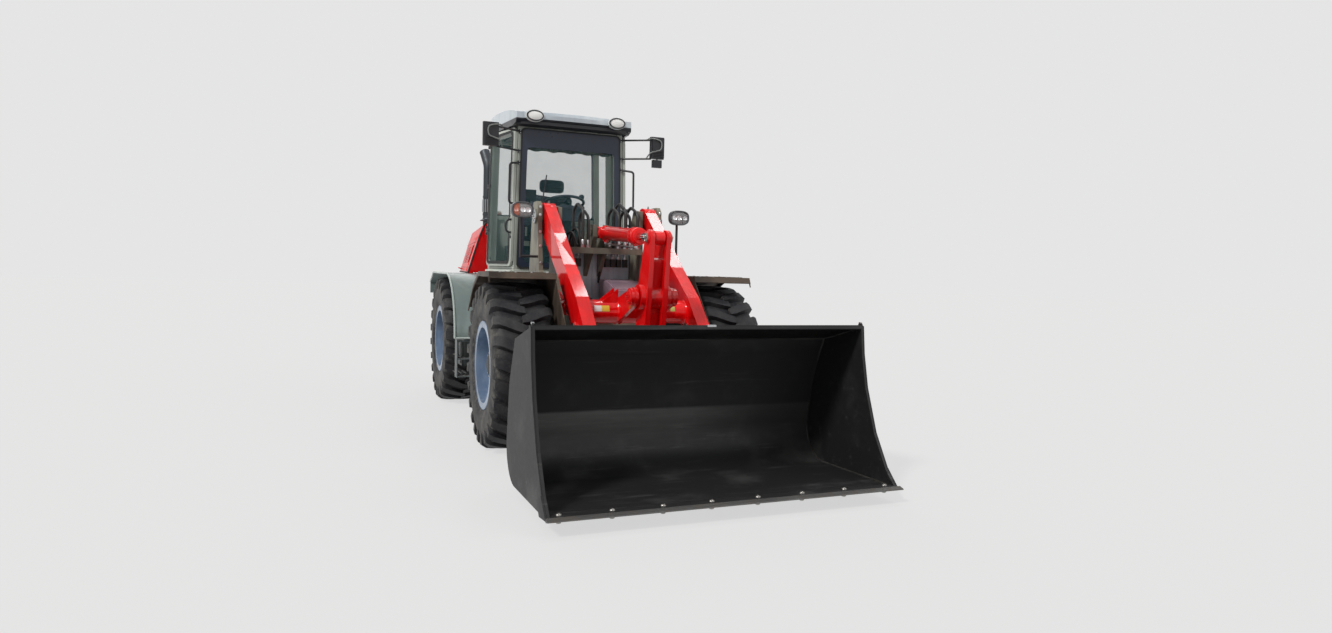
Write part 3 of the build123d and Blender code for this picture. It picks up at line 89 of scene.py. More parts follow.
# ---------------------------------------------------------------- camera
camera_yaw, camera_pitch, camera_roll = 0.3966, -0.0539, 0.0265
forward = at(math.sin(camera_yaw) * math.cos(camera_pitch),
             math.cos(camera_yaw) * math.cos(camera_pitch), math.sin(camera_pitch))
level_right = at(math.cos(camera_yaw), -math.sin(camera_yaw), 0)
level_up = level_right.cross(forward)
tilted_right = level_right * math.cos(camera_roll) + level_up * math.sin(camera_roll)
tilted_up = level_up * math.cos(camera_roll) - level_right * math.sin(camera_roll)
camera = in_scene("camera", bpy.data.cameras.new("camera"))
camera.data.lens = 22.41
camera.data.sensor_width = 36.0
turned_to = Matrix((tilted_right, tilted_up, -forward)).transposed().to_4x4()
camera.matrix_world = Matrix.Translation(at(-2.2331, -7.2021, 1.4123)) @ turned_to
scene.camera = camera
scene.view_settings.view_transform = "Standard"

# ---------------------------------------------------------------- shader building
finish = {}  # every material by its name


class Number:
    """A shader socket that takes part in arithmetic as a number."""

    def __init__(self, shader, socket):
        self.shader = shader
        self.socket = socket

    def math(self, operation, first, second):
        return self.shader.node("ShaderNodeMath", {"operation": operation}, {0: first, 1: second})

    def __add__(self, other):
        return self.math("ADD", self, other)

    def __radd__(self, other):
        return self.math("ADD", other, self)

    def __sub__(self, other):
        return self.math("SUBTRACT", self, other)

    def __rsub__(self, other):
        return self.math("SUBTRACT", other, self)

    def __mul__(self, other):
        return self.math("MULTIPLY", self, other)


class NodeTree:
    """Node tree of a material or a world, whose new nodes come from one method."""

    def __init__(self, owner):
        owner.use_nodes = True
        self.tree = owner.node_tree

    def node(self, kind, settings=None, inputs=None, output=0):
        """Add a node, apply its settings, then fill its sockets with values or links."""
        made = self.tree.nodes.new(kind)
        for key, value in (settings or {}).items():
            setattr(made, key, value)
        for key, value in (inputs or {}).items():
            if isinstance(value, Number):
                self.tree.links.new(value.socket, made.inputs[key])
            else:
                made.inputs[key].default_value = value
        return Number(self, made.outputs[output])

    def link(self, value, node, socket_name):
        self.tree.links.new(value.socket, node.inputs[socket_name])


class Shader(NodeTree):
    """A node material around one Principled shader, kept by its name."""

    def __init__(self, name, **constants):
        self.material = finish[name] = bpy.data.materials.new(name)
        super().__init__(self.material)
        self.surface = self.tree.nodes["Principled BSDF"]
        for socket_name, value in constants.items():
            self.surface.inputs[socket_name.replace("_", " ")].default_value = value

    def place(self, stretch=(1, 1, 1)):
        """The point on the object, stretched so that a texture can run along one direction."""
        point = self.node("ShaderNodeTexCoord", output="Object")
        return self.node("ShaderNodeVectorMath", {"operation": "MULTIPLY"}, {0: point, 1: stretch})

    def noise(self, scale, detail=3.0, roughness=0.55, stretch=(1, 1, 1)):
        return self.node("ShaderNodeTexNoise", None, {"Vector": self.place(stretch), "Scale": scale,
                                                      "Detail": detail, "Roughness": roughness})

    def wave(self, scale, direction, distortion=0.0):
        return self.node("ShaderNodeTexWave", {"bands_direction": direction},
                         {"Vector": self.place(), "Scale": scale, "Distortion": distortion})

    def band(self, value, low, high):
        """0 below low, 1 above high, smooth between them."""
        return self.node("ShaderNodeMapRange", {"interpolation_type": "SMOOTHSTEP"},
                         {"Value": value, "From Min": low, "From Max": high})

    def facing(self, axis):
        """How far the surface faces along one axis of the object, -1 to 1."""
        normal = self.node("ShaderNodeTexCoord", output="Normal")
        return self.node("ShaderNodeSeparateXYZ", None, {0: normal}, output=axis)

    def along(self, axis):
        """Place on the object along one axis, in metres."""
        return self.node("ShaderNodeSeparateXYZ", None, {0: self.place()}, output=axis)

    def mix(self, factor, first, second):
        """Blend of two colours."""
        return self.node("ShaderNodeMix", {"data_type": "RGBA"}, {"Factor": factor, 6: first, 7: second},
                         output=2)

    def feed(self, socket_name, value):
        self.link(value, self.surface, socket_name)

    def bump(self, height, strength, distance):
        self.feed("Normal", self.node("ShaderNodeBump", None,
                                      {"Strength": strength, "Distance": distance, "Height": height}))


def rgb(red, green, blue):
    """Linear colour of an sRGB one given in 0 to 255."""
    return tuple(((c / 255 + 0.055) / 1.055) ** 2.4 if c > 10 else c / 255 / 12.92
                 for c in (red, green, blue)) + (1.0,)


def shade(colour, gain, lift=0.0):
    """Paler or darker relative of a linear colour."""
    return tuple(min(1.0, c * gain + lift) for c in colour[:3]) + (1.0,)


dust_colour = rgb(142, 132, 118)
chrome_colour = rgb(216, 220, 222)


def painted(name, colour, dark, roughness, coat, dust, low_dirt, peel=0.12, wave=0.0, trim=None):
    """Paint with cloudy tone, dust on what faces up, soil near the ground and an orange peel.

    The wave is how far long shallow ripples run in the sheet. The trim is a second, darker colour that paints
    shade, and a method that gives where it shows."""
    paint = Shader(name, Coat_Weight=coat, Coat_Roughness=0.07, Roughness=roughness, Specular_IOR_Level=0.1)
    cloud = paint.noise(1.7, 4)
    streaks = paint.noise(9, 4, stretch=(1, 1, 0.12))
    tone = paint.mix(paint.band(cloud * 0.6 + streaks * 0.4, 0.42, 0.62), rgb(*dark), rgb(*colour))
    # The trim paints shade in a darker colour where its method says
    if trim:
        tone = paint.mix(trim[1](paint), tone, rgb(*trim[0]))
    settled = paint.band(paint.facing("Z"), 0.35, 0.95) * paint.band(paint.noise(14, 5), 0.35, 0.75) * dust
    splashed = (1 - paint.band(paint.along("Z"), 0.25, 1.3)) * paint.band(paint.noise(6, 6, 0.7), 0.42, 0.72)
    dirt = settled + splashed * low_dirt
    paint.feed("Base Color", paint.mix(dirt, tone, dust_colour))
    paint.feed("Roughness", roughness + paint.noise(30, 3) * 0.10 - 0.05 + dirt * 0.45)
    ripples = paint.noise(26, 2, stretch=(1, 0.14, 0.14)) * wave
    paint.bump(paint.noise(420, 2) * peel + dirt + ripples, 0.18, 0.0008)


def bare_metal(name, colour, roughness, grain=(1, 1, 1), wear=0.35):
    """Machined or worn steel with brushed grain and darker stains."""
    metal = Shader(name, Metallic=1.0)
    brush = metal.noise(90, 4, stretch=grain)
    stain = metal.band(metal.noise(7, 5, 0.65), 0.5, 0.75) * wear
    metal.feed("Base Color", metal.mix(stain, rgb(*colour), rgb(70, 62, 55)))
    metal.feed("Roughness", roughness + brush * 0.16 - 0.08 + stain * 0.3)
    metal.bump(brush, 0.08, 0.0005)


def rod_finish(name, eye, reach):
    """Chromed rod whose forged eye, round a (y, z) place, is painted red."""
    rod = Shader(name)
    away = rod.node("ShaderNodeVectorMath", {"operation": "DISTANCE"},
                    {0: rod.place((0, 1, 1)), 1: (0, eye.y, eye.z)}, output="Value")
    painted_part = 1 - rod.band(away, reach, reach + 0.004)
    brush = rod.noise(90, 4)
    rod.feed("Metallic", 1 - painted_part)
    rod.feed("Base Color", rod.mix(painted_part, chrome_colour, rgb(226, 6, 14)))
    rod.feed("Roughness", 0.08 + brush * 0.08 + painted_part * 0.2)
    rod.bump(brush, 0.08, 0.0005)


def moulded(name, colour, roughness, grain=260, depth=0.25, dust=0.25):
    """Moulded plastic or rubber with a fine grain and dust in the hollows."""
    plastic = Shader(name)
    base = rgb(*colour)
    grains = plastic.node("ShaderNodeTexVoronoi", None, {"Vector": plastic.place(), "Scale": grain})
    cloud = plastic.band(plastic.noise(12, 5), 0.35, 0.7)
    settled = plastic.band(plastic.facing("Z"), 0.2, 1.0) * cloud * dust
    tone = plastic.mix(plastic.noise(5, 3) * 0.5, base, shade(base, 1.7, 0.004))
    plastic.feed("Base Color", plastic.mix(settled, tone, dust_colour))
    plastic.feed("Roughness", roughness + plastic.noise(40, 2) * 0.12 - 0.06 + settled * 0.3)
    plastic.bump(grains, depth, 0.0006)


def lens(name, colour, alpha, flutes=90):
    """Clear or coloured lamp lens with upright flutes."""
    glass = Shader(name, Roughness=0.05, Coat_Weight=0.6, Alpha=alpha)
    base = rgb(*colour)
    ribs = glass.wave(flutes, "X")
    glass.feed("Base Color", glass.mix(ribs * 0.6 + glass.noise(30) * 0.4, base, shade(base, 1.25, 0.03)))
    glass.bump(ribs, 0.3, 0.001)


def flat_mark(name, colour):
    """Blank label: printed film with a slight fade."""
    film = Shader(name, Roughness=0.3, Coat_Weight=0.4)
    base = rgb(*colour)
    film.feed("Base Color", film.mix(film.noise(25, 4), shade(base, 0.8), base))
    film.feed("Roughness", film.noise(60) * 0.2 + 0.2)


def black_bucket(name, heel_highlight_share):
    """Satin black paint, scuffed where the load slides, with a painted highlight band round the heel to the
    given share.
    """
    paint = Shader(name, Coat_Weight=0.10, Coat_Roughness=0.35, Specular_IOR_Level=0.35)
    height = paint.along("Z")
    slides = paint.noise(16, 6, 0.7, stretch=(0.10, 1, 1))
    scuffs = paint.band(slides, 0.55, 0.8) * 0.5 + paint.band(paint.noise(3, 5), 0.5, 0.75) * 0.25
    low = 1 - paint.band(height, 0.08, 0.40)
    # Painted highlight: a pale band round the heel, fading across the width towards one side
    heel = paint.band(height, 0.16, 0.46) * (1 - paint.band(height, 0.468, 0.492))
    painted_sheen = heel * (slides * 0.9 + 0.25) * (1.2 - paint.band(paint.along("X"), -0.3, 0.8)) * heel_highlight_share
    # Real scuffs, with the painted highlight band added on top
    worn = scuffs * (0.5 + low * 0.5) + painted_sheen
    paint.feed("Base Color", paint.mix(worn, rgb(25, 25, 26), rgb(104, 104, 103)))
    paint.feed("Roughness", 0.50 - scuffs * 0.12 - painted_sheen * 0.15 + paint.noise(45) * 0.12)
    paint.bump(paint.noise(260, 3) * 0.2 + slides * 0.5, 0.22, 0.0012)


def faces_inside(paint):
    """Faces turned towards the middle plane of the cab, where shade is painted in a dark colour."""
    return 1 - paint.band(paint.along("X") * paint.facing("X"), -0.22, -0.12)


def under_roof_edge(paint):
    """The recessed lower part of the roof, where shade is painted in a dark colour."""
    return 1 - paint.band(paint.along("Z"), 2.796, 2.800)


# Paint: name, colour, darker colour, roughness, coat, dust, soil near the ground
painted("red_paint", (240, 4, 10), (212, 2, 7), 0.50, 0.75, 0.03, 0.05, peel=0.05, wave=90.0)
painted("hood_paint", (238, 6, 14), (208, 3, 9), 0.36, 0.25, 0.03, 0.0, peel=0.03, wave=12.0)
# Cab paint with painted shade on the faces turned into the cab
painted("cab_paint", (186, 191, 182), (164, 170, 162), 0.34, 0.35, 0.20, 0.12,
        trim=((32, 38, 52), faces_inside))
# Roof paint with painted shade along its lower part
painted("roof_paint", (200, 208, 214), (180, 190, 198), 0.30, 0.4, 0.15, 0.0,
        trim=((40, 42, 48), under_roof_edge))
painted("frame_paint", (96, 103, 104), (74, 80, 82), 0.42, 0.15, 0.45, 0.35)
painted("tower_paint", (138, 134, 120), (102, 100, 90), 0.42, 0.15, 0.45, 0.2)
painted("axle_paint", (62, 66, 68), (44, 47, 50), 0.5, 0.05, 0.5, 0.5)
painted("rear_fender_paint", (132, 146, 144), (108, 122, 121), 0.36, 0.3, 0.25, 0.3)
painted("front_fender_paint", (88, 76, 66), (56, 49, 44), 0.48, 0.1, 0.5, 0.2)
painted("rim_paint", (134, 152, 176), (96, 116, 142), 0.28, 0.5, 0.10, 0.12)
painted("weld_paint", (66, 66, 65), (40, 40, 40), 0.4, 0.1, 0.1, 0.1)
painted("barrel_grey", (70, 74, 76), (52, 55, 57), 0.4, 0.15, 0.4, 0.3)
# Painted light: the cover's paint is made pale to stand in for light in the shaded gap between the arms
painted("cover_paint", (208, 226, 236), (176, 194, 206), 0.30, 0.4, 0.1, 0.0)
painted("valve_lid_paint", (158, 134, 146), (130, 110, 124), 0.35, 0.3, 0.2, 0.0)
painted("sill_paint", (214, 218, 208), (190, 196, 188), 0.34, 0.3, 0.15, 0.0)
painted("pale_tube_paint", (150, 154, 150), (120, 124, 122), 0.35, 0.3, 0.1, 0.0)
painted("rear_fender_bead", (186, 196, 192), (160, 172, 168), 0.34, 0.3, 0.15, 0.1)
painted("engine_paint", (58, 64, 70), (40, 44, 50), 0.45, 0.1, 0.35, 0.0)
# Metal: name, colour, roughness
bare_metal("pin_steel", (150, 148, 144), 0.35)
bare_metal("rod_chrome", (216, 220, 222), 0.10, wear=0.05)
bare_metal("bolt_steel", (186, 188, 190), 0.30, wear=0.2)
bare_metal("exhaust_metal", (72, 76, 80), 0.5, grain=(1, 1, 0.2), wear=0.5)
bare_metal("mirror_silver", (200, 208, 212), 0.06, wear=0.05)
bare_metal("reflector_silver", (236, 238, 240), 0.32, wear=0.0)
bare_metal("grille_mesh", (40, 42, 44), 0.5)
bare_metal("radiator_metal", (92, 94, 96), 0.45, grain=(4, 1, 1))
# Plastic, rubber and cloth: name, colour, roughness
moulded("black_trim", (28, 29, 33), 0.42, grain=500, depth=0.12, dust=0.15)
moulded("gasket_rubber", (22, 23, 24), 0.6, grain=700, depth=0.1, dust=0.15)
moulded("interior_plastic", (34, 42, 58), 0.55, dust=0.05)
moulded("visor_print", (34, 42, 58), 0.30, grain=700, depth=0.05, dust=0.0)
moulded("intake_plastic", (164, 176, 166), 0.4, grain=400, depth=0.1)
moulded("lamp_rim_plastic", (70, 72, 76), 0.35, grain=500, depth=0.1, dust=0.1)
moulded("lamp_shell_plastic", (196, 200, 200), 0.35, grain=500, depth=0.1, dust=0.1)
moulded("blind_cloth", (86, 90, 88), 0.8, grain=900, depth=0.3, dust=0.1)
# Lens: name, colour, alpha
lens("clear_lens", (235, 238, 240), 0.26)
lens("amber_lens", (214, 118, 88), 0.55)
lens("red_lens", (170, 12, 14), 0.9)
lens("frosted_lens", (238, 238, 232), 0.9, flutes=60)
flat_mark("white_label", (232, 232, 228))
flat_mark("yellow_label", (236, 200, 60))
flat_mark("green_label", (190, 200, 90))
flat_mark("gauge_face", (70, 74, 80))
# Bucket paint without the painted highlight, and liner paint with the painted highlight band round the heel
black_bucket("bucket_paint", 0.0)
black_bucket("liner_paint", 1.0)

# Rolled steel edge, bright along scratches and dark where soil stays
steel = Shader("worn_steel", Metallic=0.7)
scratches = steel.noise(70, 5, 0.7, stretch=(0.05, 1, 1))
soil = steel.band(steel.noise(12, 6, 0.7), 0.45, 0.7)
scratched = steel.mix(scratches, rgb(58, 58, 58), rgb(112, 112, 111))
steel.feed("Base Color", steel.mix(soil * 0.5, scratched, rgb(92, 80, 66)))
steel.feed("Roughness", 0.38 + scratches * 0.2 + soil * 0.2)
steel.bump(scratches + soil, 0.35, 0.001)

# Black rubber, with dry soil on the lug faces and in the grooves
rubber = Shader("tyre_rubber", Specular_IOR_Level=0.3)
cake = rubber.band(rubber.noise(9, 7, 0.7), 0.40, 0.72)
fine = rubber.noise(60, 6, 0.7)
sideways = rubber.facing("X")
shoulder = rubber.band(sideways * sideways, 0.12, 0.75)
dusty = cake * (0.10 + shoulder * 0.42) + rubber.band(fine, 0.45, 0.75) * (0.08 + shoulder * 0.24)
rubber.feed("Base Color", rubber.mix(dusty, rgb(22, 23, 28), rgb(126, 123, 116)))
rubber.feed("Roughness", 0.55 + dusty * 0.35)
rubber.bump(fine * 0.6 + cake, 0.4, 0.0015)

# Wrapped rubber hose with a fine spiral and scuffed ribs
hose = Shader("hose_rubber", Roughness=0.45)
wrap = hose.wave(130, "DIAGONAL", 0.5)
hose.feed("Base Color", hose.mix(hose.noise(20, 4) * 0.7, rgb(20, 21, 23), rgb(58, 57, 56)))
hose.feed("Roughness", 0.38 + wrap * 0.2)
hose.bump(wrap, 0.25, 0.0008)

# Pale green pane, with a light film of dust
pane = Shader("cab_glass", Roughness=0.03, Specular_IOR_Level=0.2)
film = pane.band(pane.noise(5, 5), 0.45, 0.8)
pane.feed("Base Color", pane.mix(film, rgb(56, 104, 102), rgb(90, 124, 120)))
pane.feed("Alpha", 0.11 + film * 0.03)

# Dark woven seat cloth with crossed threads
cloth = Shader("seat_fabric", Sheen_Weight=0.35)
warp, weft = cloth.wave(260, "X"), cloth.wave(260, "Z")
fade = cloth.noise(6, 4)
cloth.feed("Base Color", cloth.mix(warp * weft * 0.6 + fade * 0.4, rgb(30, 38, 54), rgb(58, 70, 94)))
cloth.feed("Roughness", 0.75 + fade * 0.15)
cloth.bump(warp + weft, 0.5, 0.0008)

tilt_rod_low, lift_rod_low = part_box("tilt_rod")[0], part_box("lift_rods")[0]
tilt_eye = at(0, tilt_rod_low.y + 0.05, tilt_rod_low.z + 0.05)
lift_eye = at(0, lift_rod_low.y + 0.042, lift_rod_low.z + 0.042)
rod_finish("tilt_rod_finish", tilt_eye, 0.075)
rod_finish("lift_rod_finish", lift_eye, 0.065)

# ---------------------------------------------------------------- materials of the CAD nodes
node_finishes = {
    "red_paint": "lift_arm bellcrank tilt_barrel lift_barrels tilt_link lever_pin",
    "hood_paint": "engine_hood",
    "cab_paint": "cab_floor cab_frame door_left door_right door_hinges",
    "roof_paint": "cab_roof",
    "frame_paint": "rear_chassis counterweight side_steps",
    "tower_paint": "front_chassis",
    "axle_paint": "front_axle rear_axle engine_block",
    "rear_fender_paint": "rear_fenders",
    "front_fender_paint": "front_fenders",
    "bucket_paint": "bucket quick_hitch",
    "worn_steel": "cutting_edge",
    "pin_steel": "hitch_shafts link_pin",
    "tilt_rod_finish": "tilt_rod",
    "lift_rod_finish": "lift_rods",
    "rod_chrome": "steer_rod_left steer_rod_right",
    "barrel_grey": "steer_barrel_left steer_barrel_right",
    "tyre_rubber": "tyre_front_left tyre_front_right tyre_rear_left tyre_rear_right",
    "rim_paint": "rim_front_left rim_front_right rim_rear_left rim_rear_right",
    "cab_glass": "fixed_glass door_glass_left door_glass_right",
    "seat_fabric": "seat_cushions",
    "interior_plastic": "seat_base steering_column",
    "black_trim": "mirrors grab_rails headlights work_lights",
    "hose_rubber": "hydraulic_hoses",
    "exhaust_metal": "exhaust_stack",
    "intake_plastic": "air_intake",
}
# Rounding of the sharp edges, in metres, on the nodes whose edges catch the light
edge_rounding = {
    0.0015: "cutting_edge engine_hood front_fenders rear_fenders",
    0.002: "tilt_barrel lift_barrels",
    0.0025: "bucket side_steps",
    0.003: "front_chassis rear_chassis",
    0.004: "quick_hitch cab_frame tilt_link door_left door_right front_axle rear_axle",
    0.006: "lift_arm bellcrank cab_floor steering_column",
    0.008: "seat_base",
    0.01: "engine_block",
    0.012: "counterweight cab_roof",
}
for finish_name, nodes in node_finishes.items():
    for node in nodes.split():
        materials = frame["nodes"][node].data.materials
        materials.clear()
        materials.append(finish[finish_name])
for width, nodes in edge_rounding.items():
    for node in nodes.split():
        modifiers = frame["nodes"][node].modifiers
        modifiers.new("weld", "WELD").merge_threshold = 0.00005
        bevel = modifiers.new("rounding", "BEVEL")
        bevel.width = width
        bevel.segments = 2
        bevel.limit_method = "ANGLE"
        bevel.angle_limit = math.radians(40)
        bevel.harden_normals = True

# The record's slot of each material that isn't called like its slot
slots = {
    "machine_red": "red_paint hood_paint white_label yellow_label green_label",
    "bucket_black": "bucket_paint liner_paint weld_paint",
    "pin_steel": "bolt_steel",
    "black_trim": "gasket_rubber grille_mesh visor_print mirror_silver",
    "frame_grey": "axle_paint frame_paint cover_paint valve_lid_paint rear_fender_bead",
    "cab_grey": "pale_tube_paint sill_paint roof_paint",
    "lamp_plastic": "lamp_rim_plastic lamp_shell_plastic reflector_silver "
                    "clear_lens amber_lens frosted_lens red_lens",
    "interior_plastic": "blind_cloth gauge_face",
    "engine_paint": "radiator_metal",
}
slot_of = {material: slot for slot, materials in slots.items() for material in materials.split()}


# ---------------------------------------------------------------- mesh building
def circle(middle, side, other, radius, count):
    """Points round a middle, in the plane of two directions."""
    turns = [2 * math.pi * i / count for i in range(count)]
    return [middle + (side * math.cos(turn) + other * math.sin(turn)) * radius for turn in turns]


def frame_along(direction):
    """Two directions across a line."""
    direction = direction.normalized()
    helper = at(0, 0, 1) if abs(direction.z) < 0.9 else at(1, 0, 0)
    side = direction.cross(helper).normalized()
    return side, side.cross(direction)


def rounded_corner(before, corner, after, radius, steps):
    """Arc that takes the place of a corner between two straight lines."""
    back, onward = (before - corner).normalized(), (after - corner).normalized()
    half = back.angle(onward) / 2
    reach = radius / math.tan(half)
    middle = corner + (back + onward).normalized() * (radius / math.sin(half))
    chords = [(corner + back * reach).lerp(corner + onward * reach, step / steps)
              for step in range(steps + 1)]
    return [middle + (chord - middle).normalized() * radius for chord in chords]


def smooth_path(points, steps=8):
    """Points of a smooth curve that passes through the given ones."""
    points = [Vector(p) for p in points]
    padded = [points[0] * 2 - points[1], *points, points[-1] * 2 - points[-2]]
    path = []
    for a, b, c, d in zip(padded, padded[1:], padded[2:], padded[3:]):
        for step in range(steps):
            t = step / steps
            path.append(0.5 * (2 * b + (c - a) * t + (2 * a - 5 * b + 4 * c - d) * t * t
                               + (3 * b - a - 3 * c + d) * t * t * t))
    return path + [points[-1]]


class Part:
    """A piece in the making: its methods add shapes, and done() lets it ride on its body."""

    def __init__(self, name, material, body, slot=None, rounding=0.0, segments=2):
        self.name, self.material, self.body = name, material, body
        self.slot = slot or slot_of.get(material, material)
        self.rounding, self.segments = rounding, segments
        self.mesh = bmesh.new()

    def done(self):
        """Round the sharp edges, smooth the rest and make the object, on its body if it has one."""
        shape = self.mesh
        bmesh.ops.recalc_face_normals(shape, faces=shape.faces)
        if self.rounding:
            edges = [e for e in shape.edges if len(e.link_faces) == 2 and e.calc_face_angle(0) > 0.6]
            bmesh.ops.bevel(shape, geom=edges, offset=self.rounding, segments=self.segments, affect="EDGES",
                            clamp_overlap=True)
        shape.normal_update()
        for face in shape.faces:
            face.smooth = True
        for edge in shape.edges:
            edge.smooth = len(edge.link_faces) == 2 and edge.calc_face_angle(0) < math.radians(35)
        data = bpy.data.meshes.new(self.name)
        shape.to_mesh(data)
        shape.free()
        data.materials.append(finish[self.material])
        made = in_scene(self.name, data)
        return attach(made, self.body) if self.body else made

    def skin(self, loops, ends=True, ring=True):
        """Skin a row of point loops; ring closes each loop on itself, and ends close the row."""
        rows = [[self.mesh.verts.new(p) for p in loop] for loop in loops]
        count = len(rows[0])
        for first, second in zip(rows, rows[1:]):
            for i in range(count if ring else count - 1):
                self.mesh.faces.new((first[i], first[(i + 1) % count], second[(i + 1) % count], second[i]))
        if ends:
            self.mesh.faces.new(rows[0][::-1])
            self.mesh.faces.new(rows[-1])

    def sheet(self, rows):
        """Open surface through rows of points."""
        self.skin(rows, ends=False, ring=False)

    def box(self, low, high):
        """Box between two corners, in either order across the machine."""
        x0, x1 = sorted((low[0], high[0]))
        self.skin([[(x0, low[1], z), (x1, low[1], z), (x1, high[1], z), (x0, high[1], z)]
                   for z in (low[2], high[2])])

    def plate(self, outline, x_range):
        """Plate with a (y, z) outline, across an x range."""
        self.skin([[(x, y, z) for y, z in outline] for x in sorted(x_range)])

    def turned(self, start, axis, profile, count=24, ends=True):
        """Turned part: (distance along the axis, radius) rows about a line from start."""
        start, axis = Vector(start), Vector(axis).normalized()
        side, other = frame_along(axis)
        self.skin([circle(start + axis * distance, side, other, radius, count)
                   for distance, radius in profile], ends=ends)

    def bolt(self, start, axis, radius, height, washer=True):
        """Hexagon bolt head on its washer."""
        if washer:
            self.turned(start, axis, [(0, radius * 1.35), (height * 0.22, radius * 1.35)], count=16)
        self.turned(start, axis, [(height * 0.2, radius), (height * 0.85, radius), (height, radius * 0.82)],
                    count=6)

    def tube(self, path, radius, count=12):
        """Round tube along a path, with a steady frame."""
        path = [Vector(p) for p in path]
        loops = []
        side = frame_along(path[1] - path[0])[0]
        for i, point in enumerate(path):
            tangent = (path[min(i + 1, len(path) - 1)] - path[max(i - 1, 0)]).normalized()
            side = (side - tangent * side.dot(tangent)).normalized()
            size = radius(i / (len(path) - 1)) if callable(radius) else radius
            loops.append(circle(point, side, side.cross(tangent), size, count))
        self.skin(loops)

    def pin_cap(self, start, axis, radius, bolts=3):
        """Retainer plate over the end of a pin, with its bolts and a grease nipple."""
        self.turned(start, axis, [(0, radius), (0.006, radius), (0.008, radius * 0.93)], count=32)
        side, other = frame_along(axis)
        for bolt in range(bolts):
            turn = 2 * math.pi * bolt / bolts + 0.5
            away = (side * math.cos(turn) + other * math.sin(turn)) * radius * 0.62
            self.bolt(start + axis * 0.0075 + away, axis, radius * 0.17, 0.008)
        self.turned(start + axis * 0.007, axis,
                    [(0, 0.006), (0.008, 0.006), (0.009, 0.0035), (0.014, 0.0045), (0.017, 0.0025)], count=12)

    def clamped_line(self, path, radius, clamps, bolt_axis):
        """Rigid hydraulic line with saddle clamps at the given shares of its length."""
        self.tube(path, radius)
        for share in clamps:
            i = int(share * (len(path) - 1))
            along = (path[min(i + 1, len(path) - 1)] - path[i - 1]).normalized()
            self.turned(path[i] - along * 0.011, along, [(0, radius * 1.7), (0.022, radius * 1.7)], count=14)
            self.bolt(path[i] + bolt_axis * radius * 1.5, bolt_axis, 0.006, 0.006)

    def hose_end(self, start, axis, radius):
        """Crimped sleeve and nut of a hose."""
        self.turned(start, axis, [(0, radius), (0.004, radius * 1.28), (0.040, radius * 1.28),
                                  (0.044, radius * 1.1)], count=18)
        self.turned(start - axis * 0.022, axis, [(0, radius * 1.45), (0.020, radius * 1.45)], count=6)

    def gland(self, base, along, length, radius):
        """Threaded gland and wiper, at a barrel's open end."""
        self.turned(base + along * (length - 0.098), along,
                    [(0, radius + 0.002), (0.004, radius + 0.0105), (0.020, radius + 0.0105),
                     (0.024, radius + 0.002)], count=40)
        self.turned(base + along * (length - 0.001), along,
                    [(0, radius + 0.002), (0.016, radius + 0.001), (0.020, radius - 0.004)], count=40)

    def border(self, corners, widths, thick, normal, bend=0.04):
        """Flat strip round a pane: corners, widths at the bottom, right, top and left, and thickness."""
        if not hasattr(widths, "__len__"):
            widths = (widths,) * 4
        bottom, right, top, left = widths
        a, b, c, d = corners
        across, rise = (b - a).normalized(), (d - a).normalized()
        across_top, rise_right = (c - d).normalized(), (c - b).normalized()
        inner = [a + across * left + rise * bottom, b - across * right + rise_right * bottom,
                 c - across_top * right - rise_right * top, d + across_top * left - rise * top]
        loops = []
        for points, lift in ((corners, 0.0), (corners, thick), (inner, thick), (inner, 0.0), (corners, 0.0)):
            arcs = [rounded_corner(points[i - 1], points[i], points[(i + 1) % 4], bend, 6) for i in range(4)]
            loops.append([point + normal * lift for arc in arcs for point in arc])
        self.skin(loops, ends=False)
        bmesh.ops.remove_doubles(self.mesh, verts=self.mesh.verts, dist=0.00002)

    def bezel(self, middle, half_width, half_height, exponent, border, depth):
        """Rolled rim round an oval lamp face."""
        self.skin([oval(middle, half_width + grow, half_height + grow, exponent, middle.y + back)
                   for grow, back in ((-0.004, 0.030), (0.003, 0.026), (0.004, 0.004), (0.0, -depth),
                                      (-border * 0.7, -depth), (-border, -depth * 0.3), (-border, 0.004))],
                  ends=False)

    def lens(self, middle, half_width, half_height, exponent, front_y, depth, low=-1, high=1, steps=14):
        """Domed part of an oval lens, between two shares of its width."""
        rows = []
        for i in range(steps + 1):
            u = low + (high - low) * i / steps
            column = half_height * max(1 - abs(u) ** exponent, 0.0) ** (1 / exponent)
            rows.append([(middle.x + u * half_width, front_y - depth * (1 - u * u) * (1 - v * v),
                          middle.z + column * v) for v in (k / 6 - 1 for k in range(13))])
        self.sheet(rows)
        bmesh.ops.remove_doubles(self.mesh, verts=self.mesh.verts, dist=0.0003)


def oval(middle, half_width, half_height, exponent, y, count=40):
    """Rounded oval loop in an upright plane, facing forward."""
    loop = []
    for i in range(count):
        c, s = math.cos(2 * math.pi * i / count), math.sin(2 * math.pi * i / count)
        loop.append((middle.x + half_width * math.copysign(abs(c) ** (2 / exponent), c), y,
                     middle.z + half_height * math.copysign(abs(s) ** (2 / exponent), s)))
    return loop


def around(x, radius, turn):
    """Point round the line of the axle, at an x."""
    return at(x, radius * math.sin(turn), radius * math.cos(turn))


def spread(count, shift=0.0):
    """Angles of evenly spread bolts, moved on by a share of their pitch."""
    return [2 * math.pi * (i + shift) / count for i in range(count)]


# ---------------------------------------------------------------- tyres
tyre_low, tyre_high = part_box("tyre_front_left")
tyre_radius = (tyre_high.z - tyre_low.z) / 2
tyre_half = (tyre_high.x - tyre_low.x) / 2
lugs_per_side = 24
lug_depth = 0.036
lug_foot = 1.28          # how much wider a lug is at its root
carcass_sections = 96


def crown_radius(offset):
    """Radius of the tread's face at an offset from the middle."""
    return tyre_radius - 0.0006 - 0.020 * (abs(offset) / tyre_half) ** 3.0


